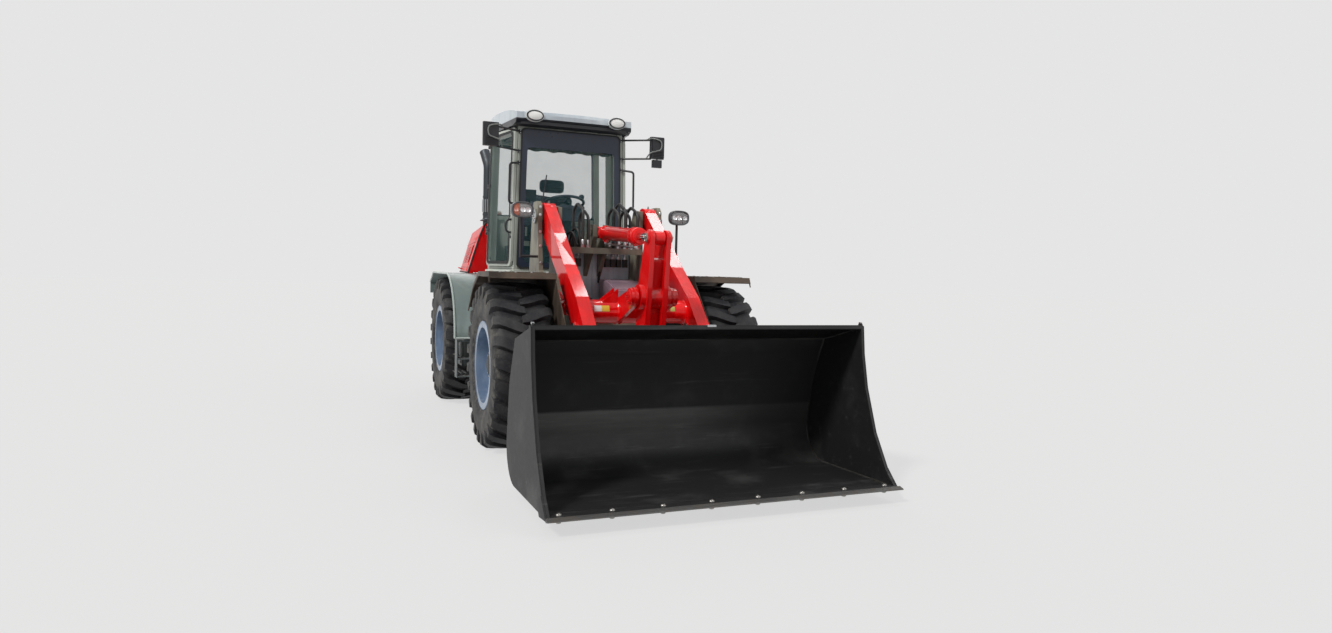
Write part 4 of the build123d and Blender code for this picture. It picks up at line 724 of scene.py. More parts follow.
# Half section of the carcass, from the bead to the middle of the tread: (distance from the side, radius)
half_section = [(tyre_half - inward, radius) for inward, radius in (
    (0.038, 0.3065), (0.030, 0.348), (0.022, 0.360), (0.014, 0.385), (0.009, 0.392), (0.006, 0.430),
    (0.004, 0.470), (0.004, 0.505), (0.010, 0.540), (0.022, 0.570), (0.045, 0.596), (0.080, 0.608),
    (0.150, tyre_radius - lug_depth))]
section = half_section + [(0.0, tyre_radius - lug_depth + 0.002)]
section += [(-offset, radius) for offset, radius in reversed(half_section)]
# Lug stations: (offset, radius of the face, radius of the root, half width, lean round the tyre)
stations = [
    (-0.014, crown_radius(0), 0.606, 0.030, -0.004),
    (0.035, crown_radius(0.035), 0.606, 0.036, 0.010),
    (0.085, crown_radius(0.085), 0.606, 0.040, 0.034),
    (0.140, crown_radius(0.140), 0.600, 0.041, 0.062),
    (0.190, crown_radius(0.190), 0.590, 0.039, 0.082),
    (tyre_half - 0.004, 0.612, 0.560, 0.036, 0.092),
    (tyre_half - 0.001, 0.560, 0.530, 0.028, 0.096),
    (tyre_half - 0.003, 0.520, 0.510, 0.020, 0.098),
]
for corner in corners_of_machine:
    hub = centre("rim_" + corner)
    middle = at(centre("tyre_" + corner).x, hub.y, hub.z)
    tyre = Part("tread_" + corner, "tyre_rubber", "wheel_" + corner)
    rings = [[around(o, r, turn) for o, r in section] for turn in spread(carcass_sections)]
    tyre.skin(rings + [rings[0]], ends=False)
    for side in sides:
        for base in spread(lugs_per_side, 0.5 if side < 0 else 0):
            loops = []
            for offset, face, root, half, lean in stations:
                root_offset = min(offset, tyre_half - 0.03)
                loops.append([around(side * place, radius, base + (lean + share * half) / tyre_radius)
                              for place, radius, share in ((root_offset, root, -lug_foot), (offset, face, -1),
                                                           (offset, face, 1), (root_offset, root, lug_foot))])
            tyre.skin(loops)
    bmesh.ops.remove_doubles(tyre.mesh, verts=tyre.mesh.verts, dist=0.00002)
    for vertex in tyre.mesh.verts:
        vertex.co = mirrored(vertex.co, 1 if "left" in corner else -1) + middle
    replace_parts(tyre.done(), "tyre_" + corner)

# ---------------------------------------------------------------- wheels
for corner in corners_of_machine:
    facing = 1 if "left" in corner else -1
    axle = at(centre("tyre_" + corner).x, centre("rim_" + corner).y, centre("rim_" + corner).z)
    outward, body = outboard[facing], "wheel_" + corner
    # Hub cover of the wheel's planetary drive
    part = Part("hub_cover_" + corner, "axle_paint", body, "rim_paint", rounding=0.0015)
    part.turned(axle + outward * 0.1102, outward, [(0, 0.118), (0.026, 0.116), (0.034, 0.108), (0.036, 0.075),
                                                   (0.050, 0.070), (0.056, 0.055), (0.058, 0.012)], count=48)
    part.done()
    part = Part("wheel_nuts_" + corner, "bolt_steel", body)
    for turn in spread(10):
        seat = axle + around(facing * 0.0962, 0.165, turn)
        part.turned(seat, outward, [(0, 0.021), (0.006, 0.021), (0.007, 0.017)], count=16)
        part.turned(seat + outward * 0.005, outward, [(0, 0.0165), (0.018, 0.0165), (0.021, 0.013)], count=6)
        part.turned(seat + outward * 0.02, outward, [(0, 0.009), (0.014, 0.009), (0.016, 0.007)], count=12)
    for turn in spread(12, 0.5):
        part.bolt(axle + around(facing * 0.1462, 0.094, turn), outward, 0.008, 0.009, washer=False)
    part.done()
    # Rolled lip and lock ring on both faces of the rim
    part = Part("rim_lips_" + corner, "rim_paint", body)
    lip_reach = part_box("rim_" + corner)[1 if facing > 0 else 0].x - axle.x
    for sign in (1, -1):
        for offset, radius, thick in ((0.0, 0.340, 0.0065), (-0.022, 0.300, 0.0045)):
            x = sign * (lip_reach + facing * (offset - 0.004))
            part.tube([axle + around(x, radius, turn) for turn in spread(72) + [2 * math.pi]], thick, count=8)
    part.done()
    part = Part("valve_" + corner, "gasket_rubber", body, "tyre_rubber")
    foot = axle + at(facing * 0.088, 0.0, 0.262)
    bend = foot + at(facing * 0.052, 0, -0.02)
    part.tube(smooth_path([foot, foot + outward * 0.03, bend]), 0.004)
    part.turned(bend, at(facing * 0.6, 0, -0.8), [(0, 0.0055), (0.016, 0.0055), (0.018, 0.004)], count=12)
    part.done()

# ---------------------------------------------------------------- places on the machine
joint_places = {row["name"]: Vector(row["pos_m"]) for row in frame["joints"] if "pos_m" in row}
arm_pivot = joint_places["lift"]
lever_pivot = joint_places["lever_turn"]
bucket_pivot = joint_places["bucket_tilt"]
tilt_base = joint_places["tilt_barrel_swing"]
lift_base = joint_places["lift_barrel_swing"]
waist = joint_places["articulation"]
front_axle_y = joint_places["roll_front_left"].y
rear_axle_y = joint_places["roll_rear_left"].y
axle_z = joint_places["roll_front_left"].z
link_foot = at(0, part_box("tilt_link")[1].y - 0.05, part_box("tilt_link")[0].z + 0.05)
cross_tube = arm_pivot + at(0, -0.94, -0.75)
cross_tube_radius = 0.090


def beside(point, x):
    """The same (y, z) place at another x."""
    return at(x, point.y, point.z)


# ---------------------------------------------------------------- bucket, in (y, z) places
bucket_low, bucket_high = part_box("bucket")
tip_y = bucket_low.y
bucket_half = bucket_high.x
side_plate = 0.016
inside_half = bucket_half - side_plate
lip = Vector((tip_y + 0.425, bucket_high.z))
back_top = Vector((bucket_pivot.y - 0.330, bucket_pivot.z + 0.618))
back_bend = Vector((bucket_pivot.y - 0.190, bucket_pivot.z + 0.330))
side_edge = [(lip.x, lip.y), (lip.x - 0.020, 0.900), (lip.x - 0.070, 0.680), (lip.x - 0.180, 0.400),
             (lip.x - 0.315, 0.190), (tip_y, 0.084)]

part = Part("bucket_edge_strips", "bucket_paint", "bucket_body", rounding=0.002)
# Bar that stiffens the lip
part.plate([(lip.x - 0.001, lip.y - 0.024), (lip.x + 0.022, lip.y - 0.027), (lip.x + 0.022, lip.y + 0.001),
            (lip.x - 0.001, lip.y + 0.003)], (0.004 - bucket_half, bucket_half - 0.004))
for side in sides:
    # Wear strip down the front edge of each side, and the lug at its top
    strip = [(y + 0.001, z - 0.004 * (i == 0)) for i, (y, z) in enumerate(side_edge)]
    strip += [(y + 0.052, z) for y, z in reversed(side_edge[:-1])]
    part.plate(strip, (side * bucket_half, side * (bucket_half + 0.008)))
    part.plate([(lip.x + 0.002, lip.y - 0.02), (lip.x + 0.045, lip.y - 0.02), (lip.x + 0.04, lip.y + 0.010),
                (lip.x + 0.018, lip.y + 0.019), (lip.x + 0.004, lip.y + 0.010)],
               (side * (bucket_half - 0.014), side * (bucket_half - 0.002)))
    # Corner plate that the cutting edge is bolted to
    part.plate([(tip_y + y, z) for y, z in ((0.004, 0.086), (0.150, 0.072), (0.215, 0.150), (0.118, 0.196))],
               (side * (bucket_half + 0.001), side * (bucket_half + 0.012)))
part.done()

# Sighting mark at the middle of the lip, and the worn tips of the two top corners
part = Part("bucket_lip_marks", "bolt_steel", "bucket_body", "bucket_black", rounding=0.002)
part.box((-0.032, lip.x - 0.003, lip.y - 0.010), (0.032, lip.x + 0.020, lip.y + 0.0045))
for side in sides:
    part.box((side * (bucket_half - 0.016), lip.x + 0.014, lip.y + 0.008),
             (side * (bucket_half + 0.001), lip.x + 0.034, lip.y + 0.0205))
part.done()

# Weld line inside, down the back, round the heel and along the floor
line_points = [lip + Vector((0.030, -0.022)), back_top + Vector((-0.006, -0.015)),
               back_bend + Vector((-0.013, -0.003)), Vector((bucket_pivot.y - 0.109, 0.0745)),
               Vector((tip_y + 0.090, 0.0960))]
inner_line = [line_points[0]]
for before, corner, after, radius in zip(line_points, line_points[1:], line_points[2:], (0.02, 1.3, 0.232)):
    inner_line += rounded_corner(before, corner, after, radius, 8)
inner_line.append(line_points[-1])
part = Part("bucket_welds", "weld_paint", "bucket_body")
for side in sides:
    part.tube([(side * (inside_half - 0.002), y, z) for y, z in inner_line], 0.006, count=8)
part.tube([(x, back_top.x - 0.008, back_top.y - 0.013) for x in (0.02 - bucket_half, bucket_half - 0.02)],
          0.006, count=8)
part.done()

# Liner that sweeps from the back to the floor, carrying the painted highlight round the heel
part = Part("bucket_liner", "liner_paint", "bucket_body")
lining = [p for p in inner_line if p.y < back_top.y - 0.03 and p.x > tip_y + 0.10]
part.sheet([[(x, p.x - 0.002, p.y + 0.0005) for p in lining]
            for x in (0.001 - inside_half, inside_half - 0.001)])
part.done()

# Backing plate of the cutting edge, on the floor
part = Part("bucket_floor_plate", "bucket_paint", "bucket_body", rounding=0.0015)
part.plate([(tip_y + y, z) for y, z in
            ((-0.002, 0.0955), (0.006, 0.1045), (0.079, 0.1045), (0.085, 0.0945))],
           (-inside_half, inside_half))
part.done()

part = Part("cutting_edge_bolts", "pin_steel", "bucket_body")
edge_bolts, edge_bolt_reach = 8, 1.055
for bolt in range(edge_bolts):
    seat = at(edge_bolt_reach * (2 * bolt / (edge_bolts - 1) - 1), tip_y + 0.050, 0.1043)
    part.turned(seat, up, [(0, 0.019), (0.003, 0.0188), (0.008, 0.0150), (0.011, 0.0090), (0.012, 0.0030)],
                count=20)
    part.turned(seat + down * 0.031, down, [(0, 0.015), (0.012, 0.015), (0.014, 0.012)], count=6)
part.done()

part = Part("bucket_ribs", "bucket_paint", "bucket_body", rounding=0.002)
# Skids under the floor
for x in (-0.90, -0.32, 0.32, 0.90):
    part.plate([(tip_y + 0.14, 0.068), (tip_y + 0.16, 0.082), (bucket_pivot.y - 0.32, 0.067),
                (bucket_pivot.y - 0.30, 0.055)], (x - 0.045, x + 0.045))
# Stiffeners behind the lip: (outward, upward) corners, and the ribs under them
back_up = (back_top - back_bend).normalized()
back_out = Vector((back_up.y, -back_up.x))
for x_range in ((0.03 - bucket_half, -0.56), (0.56, bucket_half - 0.03), (-0.34, -0.10), (0.10, 0.34)):
    part.plate([back_top + back_out * out + back_up * (rise - 0.135) for out, rise in
                ((0.001, 0), (0.034, 0.012), (0.034, 0.070), (0.001, 0.082))], x_range)
for x in (-1.02, -0.72, 0.72, 1.02):
    part.plate([back_top - back_up * 0.13 + back_out * 0.030, back_bend + Vector((0.075, -0.03)),
                (bucket_pivot.y - 0.045, 0.44), (bucket_pivot.y - 0.085, 0.43),
                back_bend + Vector((0.005, -0.03)), back_top - back_up * 0.13 - back_out * 0.004],
               (x - 0.008, x + 0.008))
part.done()

# ---------------------------------------------------------------- lift arm and lever
part = Part("arm_welds", "red_paint", "arm", rounding=0.0015)
for side in sides:
    # Weld rings where the cross tube meets the arms and the lever's brackets: (x, direction)
    for x, way in ((0.400, -1), (0.1555, 1), (0.1245, -1)):
        part.turned(beside(cross_tube, side * x), outboard[side] * way,
                    [(0, cross_tube_radius + 0.008), (0.010, cross_tube_radius + 0.001)], count=48)
    # Gusset from each bracket out along the cross tube
    for dy in (-0.052, 0.048):
        crest = cross_tube + at(0, dy, math.sqrt(cross_tube_radius ** 2 - dy ** 2))
        part.skin([[(side * x, crest.y + thick, crest.z + dz) for x, dz in
                    ((0.1545, -0.020), (0.285, -0.008), (0.270, 0.012), (0.1545, 0.105))]
                   for thick in (-0.007, 0.007)])
part.done()

part = Part("arm_pin_caps", "pin_steel", "arm")
for side in sides:
    part.pin_cap(beside(lift_eye, side * 0.512), outboard[side], 0.036)
    part.pin_cap(beside(lift_eye, side * 0.388), -outboard[side], 0.036)
    # Grease fitting on top of each arm's hinge boss
    part.turned(beside(arm_pivot, side * 0.45) + at(0, -0.02, 0.110), up,
                [(0, 0.009), (0.010, 0.009), (0.012, 0.005), (0.020, 0.006), (0.024, 0.003)], count=12)
part.done()

# Blank labels wrapped round the front of the cross tube: name, x range and angles over its front line
for name, x_range, low, high in (("white", (-0.350, -0.292), 0.06, 0.56),
                                 ("yellow", (-0.291, -0.232), 0.06, 0.56),
                                 ("green", (0.262, 0.300), 0.10, 0.50)):
    part = Part("label_" + name, name + "_label", "arm")
    turns = [low + (high - low) * i / 10 for i in range(11)]
    part.sheet([[beside(cross_tube, x) + at(0, -math.cos(t), math.sin(t)) * (cross_tube_radius + 0.0012)
                 for t in turns] for x in x_range])
    part.done()

# Pin caps outside the lever's eyes, its shaft and the hitch: name, material, body, eyes, x, radius
for name, material, body, eyes, x, radius in (
        ("lever_pin_caps", "pin_steel", "lever", (tilt_eye, link_foot), 0.0915, 0.034),
        ("lever_shaft_caps", "red_paint", "lever_pin_body", (lever_pivot,), 0.1775, 0.052),
        ("hitch_shaft_caps", "pin_steel", "hitch_pin_body", (bucket_pivot,), 0.5565, 0.048)):
    part = Part(name, material, body, "pin_steel")
    for side in sides:
        for eye in eyes:
            part.pin_cap(beside(eye, side * x), outboard[side], radius)
    part.done()

# ---------------------------------------------------------------- cylinders
tilt_along = (tilt_eye - tilt_base).normalized()
tilt_below = at(0, tilt_along.z, -tilt_along.y)
tilt_below = tilt_below if tilt_below.z < 0 else -tilt_below
lift_along = (lift_eye - lift_base).normalized()
lift_below = at(0, -lift_along.z, lift_along.y)
lift_below = lift_below if lift_below.z < 0 else -lift_below
tilt_ports = (0.165, 0.885)
lift_bases = [beside(lift_base, side * 0.45) for side in sides]

part = Part("tilt_gland", "red_paint", "tilt_barrel_body", rounding=0.001)
part.gland(tilt_base, tilt_along, 0.96, 0.058)
part.turned(tilt_base + tilt_along * 0.135, tilt_along,
            [(0, 0.0585), (0.003, 0.0625), (0.020, 0.0625), (0.023, 0.0585)], count=40)
for reach in tilt_ports:
    part.turned(tilt_base + tilt_along * reach + tilt_below * 0.050, tilt_below,
                [(0, 0.021), (0.024, 0.021), (0.026, 0.018)], count=20)
part.done()
part = Part("tilt_line", "bolt_steel", "tilt_barrel_body")
pipe = [tilt_base + tilt_along * reach + tilt_below * drop for reach, drop in
        ((0.165, 0.074), (0.185, 0.090), (0.26, 0.090), (0.52, 0.090), (0.79, 0.090),
         (0.865, 0.090), (0.885, 0.074))]
part.clamped_line(smooth_path(pipe, steps=6), 0.0085, (0.35, 0.68), tilt_below)
for reach in tilt_ports:
    part.turned(tilt_base + tilt_along * reach + tilt_below * 0.073, tilt_below, [(0, 0.014), (0.016, 0.014)],
                count=6)
part.done()
part = Part("lift_glands", "red_paint", "lift_barrel_body", rounding=0.001)
for base in lift_bases:
    part.gland(base, lift_along, 0.78, 0.046)
    part.turned(base + lift_along * 0.72 + lift_below * 0.044, lift_below,
                [(0, 0.016), (0.016, 0.016)], count=16)
part.done()
part = Part("lift_lines", "bolt_steel", "lift_barrel_body")
for base in lift_bases:
    pipe = [base + lift_along * reach + lift_below * drop for reach, drop in
            ((0.13, 0.047), (0.16, 0.060), (0.24, 0.062), (0.46, 0.062), (0.68, 0.062), (0.72, 0.058))]
    part.clamped_line(smooth_path(pipe, steps=5), 0.007, (0.4, 0.7), lift_below)
part.done()

# ---------------------------------------------------------------- tower
tower_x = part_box("front_chassis")[1].x - 0.010
tower_rear = front_axle_y + 0.640
cover_y = tower_rear - 0.034
deck_top = 1.0805
valve_y, hose_radius = front_axle_y + 0.315, 0.0135

part = Part("tower_bolts", "bolt_steel", "front_body")
for side in sides:
    part.pin_cap(beside(arm_pivot, side * (tower_x + 0.0095)), outboard[side], 0.058, bolts=4)
    part.pin_cap(beside(lift_base, side * (tower_x + 0.0075)), outboard[side], 0.034)
    for y, z in ((0.310, 1.46), (0.334, 1.60), (0.354, 1.72), (0.360, 1.86), (0.361, 1.925)):
        part.bolt(at(side * (tower_x - 0.018), front_axle_y + y - 0.001, z), ahead, 0.009, 0.010)
part.done()

# Sheet cover over the cross plate, with its folded top and ribs, and a low lid in front of it
# Its pale paint is painted light for the shaded gap between the arms
part = Part("tower_cover", "cover_paint", "front_body", rounding=0.002)
part.box((-0.345, cover_y - 0.006, 1.085), (0.345, cover_y, 1.560))
part.box((-0.345, cover_y - 0.026, 1.550), (0.345, cover_y, 1.562))
for x in (-0.20, 0.0, 0.20):
    part.box((x - 0.0015, cover_y - 0.014, 1.10), (x + 0.0015, cover_y - 0.006, 1.54))
part.done()
part = Part("valve_lid", "valve_lid_paint", "front_body", rounding=0.010, segments=3)
part.plate([(front_axle_y + 0.06, deck_top), (front_axle_y + 0.08, 1.255), (front_axle_y + 0.32, 1.325),
            (tower_rear - 0.10, 1.335), (tower_rear - 0.10, deck_top)], (0.045, 0.335))
part.done()
part = Part("valve_body", "black_trim", "front_body", "cylinder_grey", rounding=0.004)
part.plate([(front_axle_y + 0.10, deck_top), (front_axle_y + 0.12, 1.130), (tower_rear - 0.14, 1.165),
            (tower_rear - 0.14, deck_top)], (-0.335, -0.060))
for x in (-0.27, -0.20, -0.13):
    part.turned(at(x, front_axle_y + 0.22, 1.12), at(0, 0.1, 1), [(0, 0.022), (0.05, 0.022), (0.056, 0.015)],
                count=20)
part.done()

# Crimped ends of the loader's hoses, over the valve bank and on the cross plate
part = Part("hose_ends", "bolt_steel", "front_body")
for x, end_y in ((-0.180, -0.005), (-0.125, 0.020), (0.140, -0.005), (0.195, -0.020), (0.250, 0.015),
                 (0.310, -0.012)):
    part.hose_end(at(x, valve_y + end_y, 1.622), up, hose_radius)
for x in (-0.190, -0.135, 0.130, 0.185, 0.240, 0.300):
    part.hose_end(at(x, tower_rear - 0.0605, 1.534), at(0, -0.04, 1), hose_radius)
part.done()
part = Part("tower_hoses", "hose_rubber", "front_body")
for x, sag in ((-0.30, 0.02), (-0.25, 0.05), (0.06, 0.03)):
    part.tube(smooth_path([(x, tower_rear - 0.045, 1.30), (x, tower_rear - 0.09, 1.50),
                           (x * 0.9, tower_rear - 0.16, 1.68 + sag), (x * 0.8, tower_rear - 0.24, 1.70 + sag),
                           (x * 0.7, valve_y + 0.05, 1.62)]), 0.011)
part.done()

# ---------------------------------------------------------------- lamps
headlight_low, headlight_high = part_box("headlights")
bezels, mirrors, bulbs, clear, amber = (
    Part(name, material, "front_body") for name, material in (
        ("headlight_bezels", "lamp_rim_plastic"), ("headlight_reflectors", "reflector_silver"),
        ("headlight_bulbs", "clear_lens"), ("headlight_lenses", "clear_lens"),
        ("indicator_lenses", "amber_lens")))
for side in sides:
    middle = at(side * (headlight_high.x - 0.090), headlight_low.y, headlight_high.z - 0.0625)
    bezels.bezel(middle, 0.090, 0.0625, 2.8, 0.010, 0.020)
    split = 0.32         # where the headlight ends and the indicator begins, as a share of the half width
    for faces, low, high in ((clear, -1.0, split), (amber if side < 0 else clear, split + 0.03, 1.0)):
        faces.lens(middle, 0.080, 0.0525, 2.8, middle.y - 0.012, 0.008, *sorted((side * low, side * high)))
    bezels.box((middle.x + side * 0.026, middle.y - 0.016, middle.z - 0.05),
               (middle.x + side * 0.028, middle.y - 0.001, middle.z + 0.05))
    for dx in (-0.045, -0.002):
        dish = middle + at(side * dx, -0.0006, 0.0)
        mirrors.turned(dish, ahead, [(0.010, 0.0215), (0.0055, 0.017), (0.002, 0.010), (0.0006, 0.002)],
                       ends=False)
        bulbs.turned(dish, ahead, [(0.001, 0.006), (0.006, 0.006), (0.009, 0.003)], count=16)
    mirrors.turned(middle + at(side * 0.054, -0.0006, 0), ahead,
                   [(0.009, 0.019), (0.005, 0.014), (0.001, 0.004)], ends=False)
for part in (bezels, mirrors, bulbs, clear, amber):
    part.done()

light_low, light_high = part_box("work_lights")
shells, bezels, bulbs, lenses = (
    Part("roof_lamp_" + name, material, "rear_body", "lamp_plastic") for name, material in (
        ("shells", "lamp_shell_plastic"), ("bezels", "black_trim"), ("bulbs", "mirror_silver"),
        ("lenses", "frosted_lens")))
for side in sides:
    middle = at(side * 0.400, light_low.y, light_high.z - 0.048)
    bezels.bezel(middle, 0.078, 0.048, 2.0, 0.009, 0.010)
    lenses.lens(middle, 0.070, 0.040, 2.0, middle.y - 0.004, 0.010)
    bulbs.turned(middle + ahead * 0.0005, ahead, [(0, 0.014), (0.003, 0.013), (0.005, 0.008)])
    shells.skin([oval(middle, 0.080 + grow, 0.050 + grow, 2.0, middle.y + back) for grow, back in
                 ((0.004, 0.004), (0.006, 0.006), (0.005, 0.040), (-0.010, 0.058), (-0.030, 0.066))])
for part in (shells, bezels, bulbs, lenses):
    part.done()

part = Part("tail_lenses", "red_lens", "rear_body", rounding=0.003, segments=3)
for side in sides:
    for x0, x1 in ((0.888, 0.966), (0.974, 1.052)):
        part.box((side * x0, light_high.y - 0.002, 1.128), (side * x1, light_high.y + 0.006, 1.192))
part.done()

# ---------------------------------------------------------------- mirrors
mirror_low, mirror_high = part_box("mirrors")
back_y, glass_y = mirror_low.y, mirror_low.y + 0.056
tube_foot_y = (mirror_low.y + 0.410 + 0.028) / 2 + 0.004
shells = Part("mirror_shells", "black_trim", "rear_body", rounding=0.003)
silvers = Part("mirror_glass", "mirror_silver", "rear_body", rounding=0.002)
brackets = Part("mirror_brackets", "pale_tube_paint", "rear_body")
for side in sides:
    x = side * (mirror_high.x - 0.072)
    # Ribbed shell and its glass
    shells.box((x - 0.066, back_y - 0.006, 2.518), (x + 0.066, back_y + 0.001, 2.712))
    shells.box((x - 0.060, back_y - 0.011, 2.590), (x + 0.060, back_y - 0.004, 2.706))
    for z in (2.53, 2.545, 2.56, 2.575):
        shells.box((x - 0.052, back_y - 0.009, z - 0.0025), (x + 0.052, back_y - 0.005, z + 0.0025))
    silvers.box((x - 0.062, glass_y, 2.520), (x + 0.062, glass_y + 0.003, 2.710))
    # Bent tube that carries the mirror: (outboard of its middle, y, z)
    brackets.tube(smooth_path([(x + side * out, y, z) for out, y, z in (
        (-0.107, tube_foot_y, 2.690), (-0.082, back_y - 0.012, 2.700), (-0.020, back_y - 0.022, 2.694),
        (0.022, back_y - 0.022, 2.676), (0.032, back_y - 0.022, 2.640), (0.020, back_y - 0.022, 2.598),
        (-0.025, back_y - 0.020, 2.580), (-0.080, back_y - 0.012, 2.560), (-0.107, tube_foot_y, 2.512))],
        steps=7), 0.0065)
    if side > 0:
        # Small wide-angle mirror hung under the main one
        shells.box((x - 0.048, back_y + 0.004, 2.425), (x + 0.048, back_y + 0.040, 2.500))
        silvers.box((x - 0.042, back_y + 0.040, 2.431), (x + 0.042, back_y + 0.043, 2.494))
        brackets.tube([(x, back_y + 0.020, 2.495), (x, back_y + 0.020, 2.525)], 0.008)
for part in (shells, silvers, brackets):
    part.done()

# ---------------------------------------------------------------- cab
glass_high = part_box("fixed_glass")[1]
frame_low, frame_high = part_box("cab_frame")
floor_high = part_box("cab_floor")[1]
roof_low, roof_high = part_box("cab_roof")
cab_floor_z = floor_high.z
glass_rise = frame_high.z - cab_floor_z
cab_front, cab_rear = frame_low.y, floor_high.y
foot_x = 0.545           # outer face of the front posts at the floor
lean = 0.032             # how far they lean in at the top
rake = 0.003926          # how far the windscreen leans back for each metre up
pane_edge = foot_x - 0.030
hinge_heights = (0.380, 0.820, 1.240)


def windscreen_point(x, rise, out=0.0):
    """Point on the windscreen's outer face, from x at the floor, the rise over the floor and the way out."""
    return at(x - math.copysign(lean, x) * rise / glass_rise if x else 0.0,
              cab_front - 0.0073 + rake * rise - out, cab_floor_z + rise)


screen_normal = at(0, -1, rake).normalized()
pane = [windscreen_point(x, rise) for x, rise in
        ((-pane_edge, 0.015), (pane_edge, 0.015),
         (pane_edge, glass_rise - 0.016), (-pane_edge, glass_rise - 0.016))]
part = Part("windscreen_band", "visor_print", "rear_body")
part.border(pane, (0.050, 0.058, 0.175, 0.058), 0.002, screen_normal)
part.done()
part = Part("windscreen_gasket", "gasket_rubber", "rear_body")
grown = [point + at(dx, 0, dz) for point, (dx, dz) in
         zip(pane, ((-0.006, -0.006), (0.006, -0.006), (0.006, 0.004), (-0.006, 0.004)))]
part.border(grown, (0.014, 0.014, 0.012, 0.014), 0.004, screen_normal)
part.done()
part = Part("rear_window_band", "gasket_rubber", "rear_body")
part.border([at(x, glass_high.y, z) for x, z in
             ((-0.575, 1.915), (0.575, 1.915), (0.553, glass_high.z), (-0.553, glass_high.z))],
            (0.050, 0.050, 0.060, 0.050), 0.003, rearward, bend=0.03)
part.done()

# Directions of a door: rearward along it, up it and out of it
door_span = at(0.115, 0.680, 0)
door_length = door_span.length
door_run = door_span.normalized()
door_out = door_run.cross(at(-lean, 0, glass_rise).normalized()).normalized()
door_up = door_out.cross(door_run)


def door_point(side, u, v, n):
    """Point in door coordinates: u rearward from the front post, v up, n outward."""
    return mirrored(at(foot_x, cab_front, cab_floor_z) + door_run * u + door_up * v + door_out * n, side)


def door_pane(side, u_range, v_range, n):
    """The four corners of a part of the door."""
    (u0, u1), (v0, v1) = u_range, v_range
    return [door_point(side, u, v, n) for u, v in ((u0, v0), (u1, v0), (u1, v1), (u0, v1))]


for side, word in ((1, "left"), (-1, "right")):
    body = word + "_door"
    normal, rise = mirrored(door_out, side), mirrored(door_up, side)
    # Rubber round the pane, and the seal between the door and the posts
    part = Part("door_gasket_" + word, "gasket_rubber", body)
    part.border(door_pane(side, (0.045, door_length - 0.060), (0.048, glass_rise - 0.034), 0.0362),
                0.026, 0.0025, normal, bend=0.05)
    part.border(door_pane(side, (0.012, door_length - 0.040), (0.032, glass_rise - 0.014), 0.003),
                0.012, 0.0022, normal, bend=0.05)
    part.done()
    # Lever, escutcheons and lock of the door handle
    part = Part("door_handle_" + word, "black_trim", body)
    grip = [door_point(side, 0.028, v, n) for v, n in
            ((0.345, 0.052), (0.360, 0.074), (0.400, 0.082), (0.440, 0.078), (0.465, 0.056))]
    part.tube(smooth_path(grip, steps=6), lambda t: 0.010 - 0.003 * abs(t - 0.5))
    for v in (0.345, 0.465):
        part.turned(door_point(side, 0.028, v, 0.030), normal,
                    [(0, 0.016), (0.024, 0.015), (0.026, 0.012)], count=20)
    part.turned(door_point(side, 0.028, 0.300, 0.0295), normal,
                [(0, 0.013), (0.008, 0.012), (0.009, 0.004)], count=20)
    part.done()
    part = Part("door_hinge_plates_" + word, "black_trim", body)
    for v in hinge_heights:
        part.turned(door_point(side, door_length - 0.014, v, 0.026) - rise * 0.0125, rise,
                    [(0, 0.0155), (0.025, 0.0155)])
        plate = door_pane(side, (door_length - 0.105, door_length - 0.030), (v - 0.016, v + 0.016), 0.0365)
        part.skin([plate, [p + normal * 0.005 for p in plate]])
        for u in (door_length - 0.092, door_length - 0.060):
            part.bolt(door_point(side, u, v, 0.0412), normal, 0.0055, 0.006)
    part.done()

# Covers of the fixed hinge halves on the rear door posts
part = Part("hinge_covers", "black_trim", "rear_body", rounding=0.0015)
for side in sides:
    for v in [v + dv for v in hinge_heights for dv in (-0.044, 0.018)]:
        block = [door_point(side, door_length - 0.014 + du, v, n) for du, n in
                 ((-0.017, 0.004), (0.017, 0.004), (0.017, 0.030),
                  (0.004, 0.044), (-0.010, 0.042), (-0.017, 0.030))]
        part.skin([block, [p + mirrored(door_up, side) * 0.026 for p in block]])
part.done()

# Drip rail round the roof's foot, drawn on the right and mirrored
part = Part("roof_seal", "black_trim", "rear_body")
half_rail = [(-0.628, roof_high.y - 0.02, 0), (-0.634, waist.y + 0.700, 0), (-0.560, roof_low.y + 0.062, 0),
             (-0.515, roof_low.y + 0.016, 0.03), (-0.250, roof_low.y - 0.004, 0.03)]
half_rail += [(-x, y, back) for x, y, back in reversed(half_rail)]
rail = [(x, y) for x, y, back in half_rail]
inner = [(x * 0.955, y + back) for x, y, back in half_rail]
levels = ((inner, -0.006), (rail, 0.006), (rail, 0.036), (inner, 0.040), (inner, -0.006))
part.sheet([[(x, y, roof_low.z + dz) for x, y in outline] for outline, dz in levels])
part.done()

# Curved brow of the roof between the two lamps: (y, y with the bow, z, z with the bow); and ribs on top
part = Part("roof_brow", "roof_paint", "rear_body")
brow_rows = []
for i in range(17):
    x = -0.50 + i / 16
    bow = 1 - (x / 0.56) ** 2
    brow_rows.append([(x, roof_low.y + y + bow * bowed_y, roof_low.z + z + bow * bowed_z)
                      for y, bowed_y, z, bowed_z in
                      ((0.010, 0, 0.050, 0), (0, -0.024, 0.056, 0), (0, -0.030, 0.085, 0.010),
                       (0, -0.010, 0.112, 0.014), (0.055, 0, 0.128, 0.006))])
part.sheet(brow_rows)
for x in (-0.34, -0.115, 0.115, 0.34):
    ridge = [(x, waist.y + y, roof_high.z - drop) for y, drop in
             ((0.10, 0.030), (0.30, 0.008), (0.50, 0.0005), (0.75, 0.010), (0.98, 0.036))]
    part.tube(smooth_path(ridge, steps=6), 0.007, count=10)
part.done()

